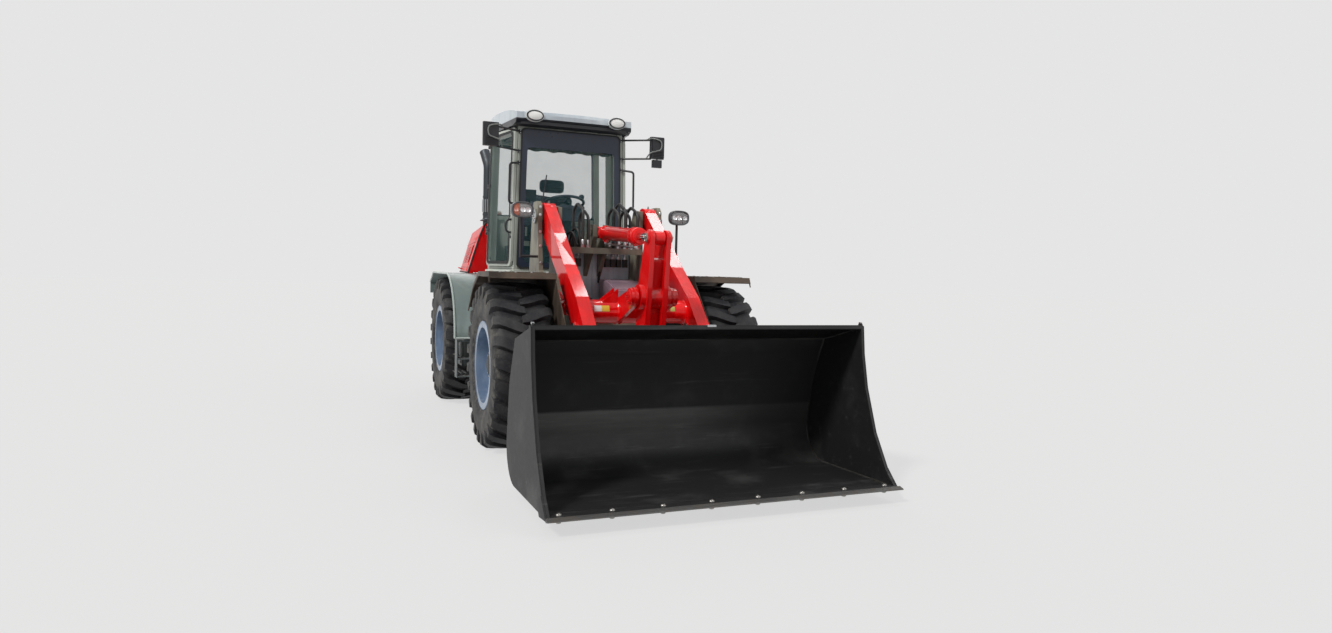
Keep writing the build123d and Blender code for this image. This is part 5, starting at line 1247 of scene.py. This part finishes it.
# Headliner, console over the windscreen with its loudspeakers, and the sun blind
part = Part("headliner", "interior_plastic", "rear_body", rounding=0.005)
part.box((-0.470, cab_front + 0.055, 2.716), (0.470, cab_rear - 0.075, 2.728))
part.box((-0.455, cab_front + 0.050, 2.640), (0.455, cab_front + 0.180, 2.720))
for x in (-0.22, 0.22):
    part.turned((x, cab_front + 0.115, 2.640), down, [(0, 0.045), (0.004, 0.045), (0.008, 0.036)], count=28)
part.done()
part = Part("sun_blind", "blind_cloth", "rear_body")
blind_half, folds, fold_depth = 0.435, 46, 0.006
part.sheet([[(blind_half * (2 * i / folds - 1), cab_front + 0.062 + fold_depth * share * math.sin(i * 1.9),
              z + (fold_depth * share * math.sin(i * 0.7 + 1) if share > 1 else 0)) for i in range(folds + 1)]
            for z, share in ((2.642, 0.2), (2.600, 0.6), (2.560, 1.0), (2.530, 1.2))])
part.done()

# Wiper with its motor cover
part = Part("wiper", "black_trim", "rear_body")
arm_foot, arm_tip = windscreen_point(0.02, 0.085, 0.012), windscreen_point(-0.30, 0.62, 0.016)
blade_foot, blade_top = windscreen_point(-0.335, 0.34, 0.008), windscreen_point(-0.265, 0.90, 0.008)
part.turned(arm_foot + rearward * 0.012, ahead, [(0, 0.022), (0.018, 0.020), (0.024, 0.012)], count=20)
arm_bow = arm_foot.lerp(arm_tip, 0.5) + ahead * 0.016
blade_bow = blade_foot.lerp(blade_top, 0.5) + ahead * 0.006
part.tube(smooth_path([arm_foot + ahead * 0.012, arm_bow, arm_tip]), 0.0055)
part.tube(smooth_path([blade_foot, blade_bow, blade_top]), 0.006, count=8)
part.done()

# Bolts of the grab rails' feet and of the cab's floor
part = Part("cab_bolts", "bolt_steel", "rear_body")
for side in sides:
    for v in (0.600, 1.000, 1.110, 1.290):
        for dz in (0.012, -0.012):
            part.bolt(door_point(side, -0.0125, v, -0.014) + up * dz, ahead, 0.005, 0.006, washer=False)
    for y in (0.05, 0.20, 0.35, 0.50):
        seat = at(side * (foot_x + 0.169 * y + 0.0005), cab_front + y, cab_floor_z - 0.027)
        part.bolt(seat, outboard[side], 0.008, 0.008)
part.done()
# Pale rolled sill under each door
part = Part("door_sills", "sill_paint", "rear_body", rounding=0.006, segments=3)
for side in sides:
    part.skin([[(side * (foot_x + out), cab_front + y, cab_floor_z - drop) for out, y in
                ((0.002, 0.005), (0.112, 0.655), (0.150, 0.640), (0.040, -0.006))]
               for drop in (0.052, 0.010)])
part.done()

# ---------------------------------------------------------------- inside the cab
seat_low, seat_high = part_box("seat_cushions")
seat_base_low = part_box("seat_base")[0]
wheel_middle = at(0, cab_front + 0.240, 2.060)
column_axis = at(0, 0.180, 0.560).normalized()

# Wheel hub and steering knob, column stalks and the gauge pod's hood
part = Part("steering_fittings", "interior_plastic", "rear_body", rounding=0.002)
part.turned(wheel_middle - column_axis * 0.004, column_axis,
            [(0, 0.056), (0.014, 0.056), (0.020, 0.045), (0.024, 0.020)], count=36)
part.turned(wheel_middle + at(0.150, -0.115, 0.030), column_axis,
            [(0, 0.010), (0.018, 0.010), (0.020, 0.024), (0.045, 0.027), (0.058, 0.018)])
for side in sides:
    part.tube([wheel_middle - column_axis * 0.075 + at(side * 0.03, 0, 0),
               wheel_middle - column_axis * 0.060 + at(side * 0.165, -0.02, 0.01)], 0.008)
part.plate([(cab_front + 0.052, 2.000), (cab_front + 0.060, 2.030), (cab_front + 0.150, 2.024),
            (cab_front + 0.146, 2.004)], (-0.158, 0.158))
part.done()
part = Part("gauges", "gauge_face", "rear_body")
for x in (-0.085, 0.0, 0.085):
    part.turned((x, cab_front + 0.1302, 1.948), rearward,
                [(0, 0.036), (0.004, 0.036), (0.005, 0.031), (0.002, 0.030), (0.002, 0.002)], count=32)
part.done()

part = Part("cab_controls", "interior_plastic", "rear_body", rounding=0.004)
# Levers on the console: (x, y, height)
for dx, dy, tall in ((0.060, 0.130, 0.10), (0.035, 0.190, 0.08), (0.070, 0.250, 0.08)):
    part.turned((seat_base_low.x + dx, seat_base_low.y + dy, 1.899), (0, -0.08, 1),
                [(0, 0.020), (0.012, 0.016), (0.020, 0.007), (tall, 0.006), (tall + 0.01, 0.014),
                 (tall + 0.035, 0.012), (tall + 0.042, 0.005)], count=20)
# Monitor on its arm, ahead of the console
part.box((-0.455, cab_front + 0.150, 2.060), (-0.300, cab_front + 0.180, 2.170))
part.tube(smooth_path([(-0.470, cab_front + 0.050, 1.980), (-0.440, cab_front + 0.110, 2.030),
                       (-0.380, cab_front + 0.165, 2.080)]), 0.011)
# Pedals and the heater box
for x in (-0.180, 0.130, 0.210):
    part.skin([[(x + dx, cab_front + y + dy, z + dz) for dx, dy, z in
                ((-0.038, 0, 1.435), (0.038, 0, 1.435), (0.038, -0.04, 1.535), (-0.038, -0.04, 1.535))]
               for y, dz in ((0.150, 0), (0.162, 0.004))])
    part.tube([(x, cab_front + 0.140, 1.480), (x, cab_front + 0.070, 1.420)], 0.008)
part.box((-0.440, cab_rear - 0.300, cab_floor_z + 0.002), (0.440, cab_rear - 0.045, 1.640))
part.done()
# Ribbed floor mat
part = Part("floor_mat", "gasket_rubber", "rear_body", "interior_plastic")
part.box((-0.470, cab_front + 0.060, cab_floor_z + 0.0005), (0.470, cab_rear - 0.320, cab_floor_z + 0.006))
for i in range(20):
    y = cab_front + 0.080 + i * 0.026
    part.box((-0.455, y, cab_floor_z + 0.006), (0.455, y + 0.008, cab_floor_z + 0.0085))
part.done()


# ---------------------------------------------------------------- seat cushions
def cushion_blank(low, high, corner):
    """Box cut into a fine grid, a little smaller than the cushion and rounded at its edges."""
    blank = bmesh.new()
    bmesh.ops.create_cube(blank, size=1.0)
    bmesh.ops.subdivide_edges(blank, edges=blank.edges, cuts=11, use_grid_fill=True)
    middle, half = (low + high) / 2, (high - low) / 2 - at(0.010, 0.010, 0.010)
    for vertex in blank.verts:
        spot = Vector([2 * share * reach for share, reach in zip(vertex.co, half)])
        inner = Vector([max(min(place, reach - corner), corner - reach) for place, reach in zip(spot, half)])
        away = spot - inner
        if away.length > corner:
            away = away.normalized() * corner
        vertex.co = middle + inner + away
    return blank


def settled_mesh(made):
    """Apply the object's modifiers to its mesh, and take them off."""
    depsgraph = bpy.context.evaluated_depsgraph_get()
    made.data = bpy.data.meshes.new_from_object(made.evaluated_get(depsgraph))
    made.modifiers.clear()


def soft_cushion(name, low, high, channels, cap):
    """Stuffed seat pad: a blank blown up as cloth, by no more than the cap, and drawn in at its channels."""
    size = high - low
    thin = min(range(3), key=lambda axis: size[axis])
    blank = cushion_blank(low, high, size[thin] * 0.40)
    mesh = bpy.data.meshes.new(name)
    blank.to_mesh(mesh)
    blank.free()
    made = in_scene(name, mesh)
    mesh.materials.append(finish["seat_fabric"])
    remesh = made.modifiers.new("voxels", "REMESH")
    remesh.mode, remesh.voxel_size = "VOXEL", 0.006
    settled_mesh(made)
    start = [v.co.copy() for v in made.data.vertices]
    stuffing = made.modifiers.new("stuffing", "CLOTH")
    stuffing.settings.use_pressure = True
    stuffing.settings.uniform_pressure_force = 4.0
    stuffing.settings.effector_weights.gravity = 0.0
    stuffing.point_cache.frame_start, stuffing.point_cache.frame_end = 1, 20
    for step in range(1, 21):
        scene.frame_set(step)
    settled_mesh(made)
    scene.frame_set(1)
    for vertex, place in zip(made.data.vertices, start):
        moved = vertex.co - place
        if moved.length > cap:
            moved = moved.normalized() * cap
        vertex.co = [min(max(to, least), most) for to, least, most in zip(place + moved, low, high)]
    subdivision = made.modifiers.new("smooth", "SUBSURF")
    subdivision.levels = subdivision.render_levels = 1
    settled_mesh(made)
    middle = (low + high) / 2
    for vertex in made.data.vertices:
        share = max(math.exp(-((vertex.co[axis] - place) / 0.006) ** 2) for axis, place in channels)
        vertex.co[thin] -= math.copysign(0.007 * share, vertex.co[thin] - middle[thin])
        # Piped seam round the edge of the pad
        edge = abs(vertex.co[thin] - middle[thin]) / (size[thin] / 2)
        seam = 0.0035 * math.exp(-((edge - 0.62) / 0.07) ** 2)
        vertex.co[thin] -= math.copysign(seam, vertex.co[thin] - middle[thin])
    for polygon in made.data.polygons:
        polygon.use_smooth = True
    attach(made, "rear_body")
    return made


# Cushions: name, low corner, high corner, channels as (axis, place), how far the stuffing may swell
seat_pad = soft_cushion("seat_pad", seat_low, at(seat_high.x, seat_high.y - 0.030, 1.850),
                        ((0, -0.135), (0, 0.135), (1, seat_low.y + 0.140)), 0.022)
soft_cushion("back_pad", at(seat_low.x + 0.005, seat_high.y - 0.1247, 1.8505),
             at(seat_high.x - 0.005, seat_high.y, 2.190),
             ((0, -0.125), (0, 0.125), (2, 1.975)), 0.022)
soft_cushion("head_pad", at(-0.140, seat_high.y - 0.1147, 2.1905),
             at(0.140, seat_high.y - 0.010, seat_high.z), ((2, 2.240),), 0.012)
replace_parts(seat_pad, "seat_cushions")

# ---------------------------------------------------------------- engine hood
hood_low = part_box("engine_hood")[0]
hood_front, hood_back = hood_low.y, waist.y + 2.440
hood_foot, hood_crest = hood_low.z + 0.0107, 1.945
hood_half_section = [(0.805, hood_foot), (0.690, 1.730), (0.640, 1.860), (0.560, 1.915), (0.0, hood_crest)]
hood_taper, hood_drop = 0.84, 0.055


def hood_point(side, share, along, out=0.0):
    """Point on the hood's side: share from its foot to its shoulder, along from its front to its rear."""
    (x0, z0), (x1, z1) = hood_half_section[:2]
    x, z = x0 + (x1 - x0) * share, z0 + (z1 - z0) * share
    drop = hood_drop * along * (z - hood_foot) / (hood_crest - hood_foot)
    return at(side * (x * (1 + (hood_taper - 1) * along) + out),
              hood_front + (hood_back - hood_front) * along, z - drop + out * 0.3)


louvres = Part("hood_louvres", "hood_paint", "hood")
woven = Part("hood_mesh", "grille_mesh", "hood")
for side in sides:
    # Two framed louvre panels, with their slanted slats, over dark mesh
    for start, end in ((0.30, 0.52), (0.56, 0.78)):
        if side < 0:
            panel = ((0.30, end), (0.30, start), (0.80, start), (0.80, end))
        else:
            panel = ((0.30, start), (0.30, end), (0.80, end), (0.80, start))
        corners = [hood_point(side, share, along, 0.001) for share, along in panel]
        normal = (corners[1] - corners[0]).cross(corners[3] - corners[0]).normalized()
        normal = normal if normal.x * side > 0 else -normal
        louvres.border(corners, 0.012, 0.006, normal, bend=0.022)
        woven.skin([[c + normal * 0.0008 for c in corners], [c + normal * 0.0016 for c in corners]])
        for row in range(9):
            share = 0.335 + 0.43 * row / 8
            blade = [hood_point(side, share + rise, along, out) for rise, along, out in
                     ((-0.012, start + 0.012, 0.002), (-0.012, end - 0.012, 0.002),
                      (0.012, end - 0.012, 0.010), (0.012, start + 0.012, 0.010))]
            louvres.skin([blade, [p + up * 0.004 for p in blade]])
    # Handle at the foot of each side
    grip = [hood_point(side, 0.10, along, out) for along, out in
            ((0.90, 0.002), (0.905, 0.024), (0.92, 0.030), (0.945, 0.030), (0.96, 0.024), (0.965, 0.002))]
    louvres.tube(smooth_path(grip, steps=5), 0.007)
louvres.done()
woven.done()

# Pressed ribs and shut line down each side, and the rubber along the foot and round the front
part = Part("hood_ribs", "hood_paint", "hood")
for side in sides:
    for share in (0.16, 0.90):
        part.tube([hood_point(side, share, along, 0.0012) for along in (0.02, 0.30, 0.60, 0.98)],
                  0.0055, count=10)
    part.tube([hood_point(side, share, 0.24) for share in (0.02, 0.35, 0.65, 0.985)], 0.004, count=8)
part.done()
part = Part("hood_seals", "gasket_rubber", "hood")
for side in sides:
    part.tube([hood_point(side, 0.0, along, -0.001) for along in (0.0, 0.33, 0.66, 0.995)], 0.008, count=10)
arch = [(-x, z) for x, z in hood_half_section] + hood_half_section[-2::-1]
part.tube([(x, hood_front + 0.002, z) for x, z in arch], 0.008, count=10)
part.done()

# Woven guard behind the rear slats, its frame with the latch, and a blank number plate
part = Part("rear_guard", "grille_mesh", "hood")
for i in range(31):
    x = -0.375 + 0.75 * i / 30
    part.tube([(x, hood_back - 0.019, 1.432), (x, hood_back - 0.019, 1.778)], 0.0016, count=6)
for i in range(15):
    z = 1.436 + 0.338 * i / 14
    part.tube([(-0.378, hood_back - 0.016, z), (0.378, hood_back - 0.016, z)], 0.0016, count=6)
part.done()
part = Part("rear_frame", "black_trim", "hood", rounding=0.001)
part.border([at(x, hood_back, z) for x, z in
             ((-0.398, 1.412), (0.398, 1.412), (0.398, 1.798), (-0.398, 1.798))],
            0.020, 0.0065, rearward, bend=0.03)
part.turned((0, hood_back, 1.385), rearward, [(0, 0.020), (0.008, 0.019), (0.010, 0.014), (0.010, 0.004)])
part.done()
weight_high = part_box("counterweight")[1]
part = Part("number_plate", "white_label", "rear_body", "frame_grey", rounding=0.002)
part.box((-0.360, weight_high.y - 0.001, 1.130), (-0.120, weight_high.y + 0.004, 1.240))
part.done()

# ---------------------------------------------------------------- exhaust and air intake
exhaust = at(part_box("exhaust_stack")[1].x - 0.055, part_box("exhaust_stack")[0].y + 0.055, 0)
intake = centre("air_intake")
intake_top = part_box("air_intake")[1].z

part = Part("exhaust_clamps", "exhaust_metal", "hood")
for z in (1.985, 2.180):
    part.turned(exhaust + up * z, up,
                [(0, 0.0555), (0.002, 0.0590), (0.022, 0.0590), (0.024, 0.0555)], count=40)
    part.box(exhaust + at(0.054, -0.010, z + 0.002), exhaust + at(0.080, 0.010, z + 0.022))
    part.bolt(exhaust + at(0.068, -0.010, z + 0.012), ahead, 0.006, 0.008)
part.turned(exhaust + up * 1.925, up, [(0, 0.085), (0.006, 0.085), (0.020, 0.060), (0.030, 0.0565)], count=40)
mouth_axis = at(-0.030, 0.090, 0.160).normalized()
mouth = circle(exhaust + at(-0.030, 0.090, 2.700) - mouth_axis * 0.004, *frame_along(mouth_axis), 0.0535, 40)
part.tube(mouth + mouth[:1], 0.0035, count=8)
part.done()
# Perforated heat shield on the lower stack: staves held off the pipe
part = Part("exhaust_shield", "bolt_steel", "hood", "exhaust_metal")
for i in range(9):
    turn = math.pi * (1.12 + 0.76 * i / 8)
    foot = exhaust + at(0.070 * math.cos(turn), 0.070 * math.sin(turn), 2.020)
    part.tube([foot, foot + up * 0.140], 0.0045, count=8)
part.done()
part = Part("intake_cap", "intake_plastic", "hood")
for z in (1.990, 2.004, 2.018, 2.032):
    part.turned(beside(intake, intake.x) + up * (z - intake.z), up,
                [(0, 0.0915), (0.002, 0.0950), (0.006, 0.0950), (0.008, 0.0915)], count=40)
part.turned((intake.x, intake.y, intake_top - 0.002), up,
            [(0, 0.090), (0.008, 0.084), (0.018, 0.060), (0.024, 0.020)], count=40)
for turn in spread(20):
    away = at(math.cos(turn), math.sin(turn), 0)
    foot = at(intake.x, intake.y, 1.955) + away * 0.050
    part.tube([foot, foot + away * 0.028 + up * 0.026], 0.003, count=6)
part.turned((intake.x, intake.y, 1.928), up, [(0, 0.056), (0.020, 0.056)], count=32)
part.done()

# ---------------------------------------------------------------- engine bay
engine_low, engine_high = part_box("engine_block")
engine_top = engine_high.z
engine_front, engine_rear = engine_low.y, engine_high.y
radiator_y = hood_back - 0.325

part = Part("engine_top", "engine_paint", "rear_body", rounding=0.003)
# Rocker cover with its fins and filler cap
part.box((-0.110, engine_front + 0.06, engine_top - 0.002), (0.110, engine_rear - 0.06, engine_top + 0.075))
for i in range(14):
    y = engine_front + 0.085 + i * 0.038
    part.box((-0.100, y, engine_top + 0.074), (0.100, y + 0.010, engine_top + 0.084))
part.turned((0.0, engine_front + 0.035, engine_top - 0.01), up,
            [(0, 0.026), (0.050, 0.026), (0.055, 0.034), (0.075, 0.034), (0.080, 0.026)], count=28)
# Manifolds down the two sides
for x in (-0.235, 0.235):
    part.tube([(x, engine_front + 0.08, engine_top + 0.030), (x, engine_rear - 0.08, engine_top + 0.030)],
              0.038, count=20)
    for y in [engine_front + 0.12 + i * 0.15 for i in range(4)]:
        part.tube(smooth_path([(x * 0.42, y, engine_top + 0.020), (x * 0.75, y, engine_top + 0.052),
                               (x, y, engine_top + 0.030)], steps=5), 0.022)
part.done()
# Radiator core and its fins
part = Part("radiator", "radiator_metal", "rear_body")
part.box((-0.345, radiator_y, 1.335), (0.345, radiator_y + 0.075, 1.735))
for i in range(44):
    x = -0.330 + 0.66 * i / 43
    part.box((x - 0.0020, radiator_y + 0.070, 1.352), (x + 0.0020, radiator_y + 0.081, 1.718))
part.done()
# Frame of the radiator, shroud, and the fan with its hub
part = Part("fan_shroud", "black_trim", "rear_body")
for x in (-0.345, 0.325):
    part.box((x, radiator_y - 0.006, 1.332), (x + 0.020, radiator_y + 0.088, 1.742))
for z in (1.330, 1.728):
    part.box((-0.345, radiator_y - 0.006, z), (0.345, radiator_y + 0.088, z + 0.020))
fan = at(0, radiator_y - 0.010, 1.530)
part.turned(fan, ahead, [(0, 0.175), (0.050, 0.160), (0.052, 0.150), (0.004, 0.150)], count=40, ends=False)
for turn in spread(7):
    along, across = at(math.cos(turn), 0, math.sin(turn)), at(-math.sin(turn), 0, math.cos(turn))
    rows = []
    for reach, half, pitch in ((0.03, 0.020, 0.010), (0.142, 0.042, 0.008)):
        blade = fan + along * reach + ahead * 0.030
        rows.append([blade - across * half + rearward * pitch, blade + across * half - rearward * pitch,
                     blade + across * half + rearward * (0.003 - pitch),
                     blade - across * half + rearward * (0.003 + pitch)])
    part.skin(rows)
part.turned(fan, ahead, [(0.010, 0.036), (0.048, 0.036), (0.054, 0.025)])
part.done()
# Coolant, air and oil hoses: three points and a radius
part = Part("engine_hoses", "gasket_rubber", "rear_body", "hose_rubber")
for points, radius in (
        (((0.250, engine_rear - 0.02, engine_top + 0.03), (0.290, engine_rear + 0.06, 1.62),
          (0.240, radiator_y - 0.02, 1.690)), 0.024),
        (((-0.240, engine_rear - 0.01, 1.300), (-0.300, engine_rear + 0.07, 1.340),
          (-0.260, radiator_y - 0.01, 1.380)), 0.024),
        (((-0.235, engine_rear - 0.08, engine_top + 0.03), (-0.300, engine_rear - 0.02, 1.66),
          (-0.330, exhaust.y + 0.06, 1.73)), 0.034),
        (((0.10, engine_front + 0.10, engine_top + 0.08), (0.20, engine_front + 0.04, 1.66),
          (0.30, engine_front + 0.12, 1.60)), 0.012)):
    part.tube(smooth_path(points), radius, count=16)
part.done()

# ---------------------------------------------------------------- fenders, steps and tanks
fender_outer_x, fender_inner_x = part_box("front_fenders")[1].x, 0.578
# Bends of the front fender, as (distance behind the axle, height)
front_bends = [(-0.345, 1.335), (-0.325, 1.378), (0.105, 1.378), (0.330, 1.276), (0.560, 1.080)]
part = Part("front_fender_trim", "front_fender_paint", "front_body", rounding=0.001)
for side in sides:
    part.tube([(side * (fender_outer_x - 0.001), front_axle_y + y, z - 0.034) for y, z in front_bends],
              0.0055, count=8)
    nose_y, nose_z = front_axle_y + front_bends[0][0], front_bends[0][1]
    part.tube([(side * x, nose_y, nose_z) for x in (fender_inner_x + 0.006, fender_outer_x - 0.004)],
              0.006, count=8)
    # Raised grip bars on the walk-on top, and the brackets under it
    for i in range(9):
        y = front_axle_y - 0.280 + i * 0.042
        for x in (0.62, 0.78, 0.94):
            part.box((side * x, y, 1.3775), (side * (x + 0.10), y + 0.010, 1.3815))
    for y in (front_axle_y - 0.18, front_axle_y + 0.02):
        part.box((side * fender_inner_x, y, 1.338), (side * (fender_outer_x - 0.03), y + 0.035, 1.370))
part.done()
part = Part("front_fender_bolts", "bolt_steel", "front_body")
for side in sides:
    for y in (front_axle_y + 0.08, front_axle_y + 0.50):
        part.bolt(at(side * (fender_inner_x + 0.006), y, 1.110), outboard[side], 0.012, 0.012)
    for x in (0.64, 0.76, 0.88, 1.00):
        for y in (front_axle_y - 0.300, front_axle_y + 0.075):
            part.bolt(at(side * x, y, 1.378), up, 0.007, 0.007)
part.done()

rear_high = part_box("rear_fenders")[1]
fender_radius = 0.590
arc_y, arc_z = waist.y + 0.640, rear_high.z - fender_radius
rear_outline = [(arc_y - fender_radius * math.cos(t), arc_z + fender_radius * math.sin(t))
                for t in (math.pi / 2 * i / 18 for i in range(19))]
rear_outline += [(rear_axle_y + 0.390, rear_high.z), (rear_high.y, 1.235)]


def fender_place(share, x):
    """Point on the rear fender's arc at an x, with the directions up along the arc and out of it."""
    (y0, z0), (y1, z1) = rear_outline[share:share + 2]
    rise = at(0, y1 - y0, z1 - z0).normalized()
    return at(x, y0, z0), rise, at(0, -rise.z, rise.y)


part = Part("rear_fender_beads", "rear_fender_bead", "rear_body")
for side in sides:
    part.tube([(side * (rear_high.x - 0.003), y, z) for y, z in rear_outline], 0.010, count=10)
    part.tube([(side * x, *rear_outline[0]) for x in (0.606, rear_high.x)], 0.009, count=10)
part.done()
part = Part("rear_fender_bolts", "bolt_steel", "rear_body")
for side in sides:
    for share in (2, 6, 10):
        for x in (0.635, 0.66):
            foot, rise, normal = fender_place(share, side * x)
            part.bolt(foot + normal * 0.0005, normal, 0.007, 0.007)
    for y in (rear_axle_y - 0.25, rear_axle_y + 0.05, rear_axle_y + 0.33):
        part.bolt(at(side * 0.640, y, rear_high.z), up, 0.007, 0.007)
part.done()
part = Part("fender_reflectors", "white_label", "rear_body", "lamp_plastic")
for side in sides:
    foot, rise, normal = fender_place(5, side * 0.800)
    part.skin([[foot + at(sx * (0.036 - shrink), 0, 0) + rise * sz * (0.022 - shrink) + normal * out
                for sx, sz in ((-1, -1), (1, -1), (1, 1), (-1, 1))]
               for out, shrink in ((-0.001, 0.0), (0.012, 0.0), (0.016, 0.005))])
part.done()

step_low, step_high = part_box("side_steps")
# Raised punched rings on the step treads
part = Part("step_studs", "frame_paint", "rear_body")
for side in sides:
    for tread_top in (0.397, 0.562, 0.727):
        for i in range(8):
            for j in range(7):
                foot = at(side * (0.722 + 0.306 * i / 7), step_low.y + 0.030 + 0.36 * j / 6,
                          tread_top - 0.0005)
                part.turned(foot, up, [(0, 0.013), (0.004, 0.010), (0.0045, 0.007), (0.0008, 0.006)],
                            count=12)
part.done()
# Tank straps, filler cap and sight tube
part = Part("tank_fittings", "black_trim", "rear_body", rounding=0.0015)
for side in sides:
    for y in (step_low.y + 0.130, step_high.y - 0.090):
        part.box((side * 1.000, y, 0.500), (side * 1.006, y + 0.040, 0.965))
    part.turned((side * 0.930, step_low.y + 0.27, 0.984), up,
                [(0, 0.030), (0.012, 0.030), (0.013, 0.040), (0.034, 0.040), (0.038, 0.034)], count=32)
    part.tube(smooth_path([(side * x, step_low.y + 0.23, z) for x, z in
                           ((1.004, 0.56), (1.016, 0.60), (1.016, 0.86), (1.004, 0.90))], steps=4), 0.007)
part.done()

# ---------------------------------------------------------------- axles, waist and counterweight
for word, y in (("front", front_axle_y), ("rear", rear_axle_y)):
    axle = at(0, y, axle_z)
    part = Part("axle_bolts_" + word, "axle_paint", word + "_body")
    for turn in spread(16):
        for side in sides:
            seat = axle + around(side * 0.152, 0.150, turn)
            if abs(seat.z - axle_z - 0.1) > 0.09:
                part.bolt(seat, outboard[side], 0.010, 0.014, washer=False)
    for side in sides:
        part.turned(axle + outboard[side] * 0.555, outboard[side],
                    [(0, 0.152), (0.008, 0.160), (0.022, 0.160), (0.030, 0.152)], count=48)
        for turn in spread(18):
            part.bolt(axle + around(side * 0.5555, 0.135, turn), -outboard[side], 0.009, 0.012, washer=False)
    part.turned(axle + at(0, -0.186, -0.040), ahead, [(0, 0.018), (0.010, 0.018), (0.012, 0.014)], count=6)
    part.done()

part = Part("waist_pin_caps", "pin_steel", "front_body")
for level in (0.600, 1.000):
    for direction in (down, up):
        part.pin_cap(at(waist.x, waist.y, level) + direction * 0.080, direction, 0.062, bolts=4)
part.done()
# Hoses across the waist: x, drop under the middle one and how far they bow up
for number, (x, drop, bow) in enumerate(((-0.165, 0.0, 0.075), (-0.140, -0.05, 0.050), (0.140, -0.02, 0.060),
                                         (0.165, 0.03, 0.085))):
    part = Part("waist_hose_%d" % number, "hose_rubber", None)
    part.tube(smooth_path([(x * out, waist.y + y, z + drop + bow * share) for out, y, z, share in (
        (1, -0.335, 0.900, 0), (1, -0.240, 0.905, 0), (1.02, -0.10, 0.900, 0.7), (1.02, 0.02, 0.900, 1),
        (1, 0.13, 0.895, 0.5), (1, 0.215, 0.885, 0))]), 0.012)
    hose = part.done()
    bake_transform(hose)

# Lifting eyes of the counterweight, its side recess rims and the jaw's lip
part = Part("counterweight_fittings", "frame_paint", "rear_body", rounding=0.001)
for side in sides:
    eye = at(side * 0.640, rear_axle_y + 0.80, 1.3295)
    half_turn = [math.pi * i / 12 for i in range(13)]
    part.tube([eye + at(0, 0.045 * math.cos(turn), 0.045 * math.sin(turn)) for turn in half_turn],
              0.010, count=10)
    part.turned((side * weight_high.x, rear_axle_y + 0.87, 0.95), outboard[side],
                [(-0.004, 0.050), (0.004, 0.048), (0.004, 0.030), (-0.002, 0.028)], count=32, ends=False)
part.border([at(x, weight_high.y + 0.0008, z) for x, z in
             ((-0.106, 0.824), (0.106, 0.824), (0.106, 0.936), (-0.106, 0.936))],
            0.016, 0.008, rearward, bend=0.012)
part.done()

# ---------------------------------------------------------------- floor, world and lights
page_colour = rgb(229, 229, 229)


def pale_page(shader, lit, page_kind, share, output):
    """Show the page to the camera and in gloss and glass, to the given share, over the lit surface."""
    seen = shader.node("ShaderNodeLightPath", output="Is Camera Ray")
    for ray in ("Is Transmission Ray", "Is Glossy Ray"):
        seen = seen.math("MAXIMUM", seen, shader.node("ShaderNodeLightPath", output=ray))
    page = shader.node(page_kind, None, {"Color": page_colour})
    surface = Number(shader, lit.outputs[0])
    both = shader.node("ShaderNodeMixShader", None, {0: seen * share, 1: surface, 2: page})
    shader.link(both, shader.tree.nodes[output], "Surface")


studio = Shader("studio_floor", Roughness=0.9)
studio.feed("Base Color", studio.mix(studio.noise(0.6, 2) * 0.1, rgb(213, 213, 213), rgb(208, 208, 208)))
pale_page(studio, studio.surface, "ShaderNodeEmission", 0.80, "Material Output")
floor_mesh = bpy.data.meshes.new("floor")
floor_mesh.from_pydata([(-60, -60, 0), (60, -60, 0), (60, 60, 0), (-60, 60, 0)], [], [(0, 1, 2, 3)])
floor_mesh.materials.append(studio.material)
in_scene("floor", floor_mesh)

scene.world = bpy.data.worlds.new("studio")
world_nodes = NodeTree(scene.world)
sky = world_nodes.tree.nodes["Background"]
sky.inputs["Color"].default_value = page_colour
sky.inputs["Strength"].default_value = 0.52
pale_page(world_nodes, sky, "ShaderNodeBackground", 1.0, "World Output")


def lamp(name, heading, height, angle, strength, colour=(1, 1, 1)):
    """Far soft lamp: compass heading that it shines from, its height, and its width, in degrees."""
    data = bpy.data.lights.new(name, "SUN")
    data.angle = math.radians(angle)
    data.energy = strength
    data.color = colour
    turn, rise = math.radians(heading), math.radians(height)
    toward = at(math.sin(turn) * math.cos(rise), -math.cos(turn) * math.cos(rise), math.sin(rise))
    in_scene(name, data).rotation_euler = (-toward).to_track_quat("-Z", "Y").to_euler()


lamp("key_light", -62, 44, 9, 2.3, (1.0, 0.98, 0.95))
lamp("glint_light", 127, 65, 9, 0.26)
lamp("front_light", 50, 40, 40, 0.35)
lamp("rear_light", 175, 38, 40, 0.45)
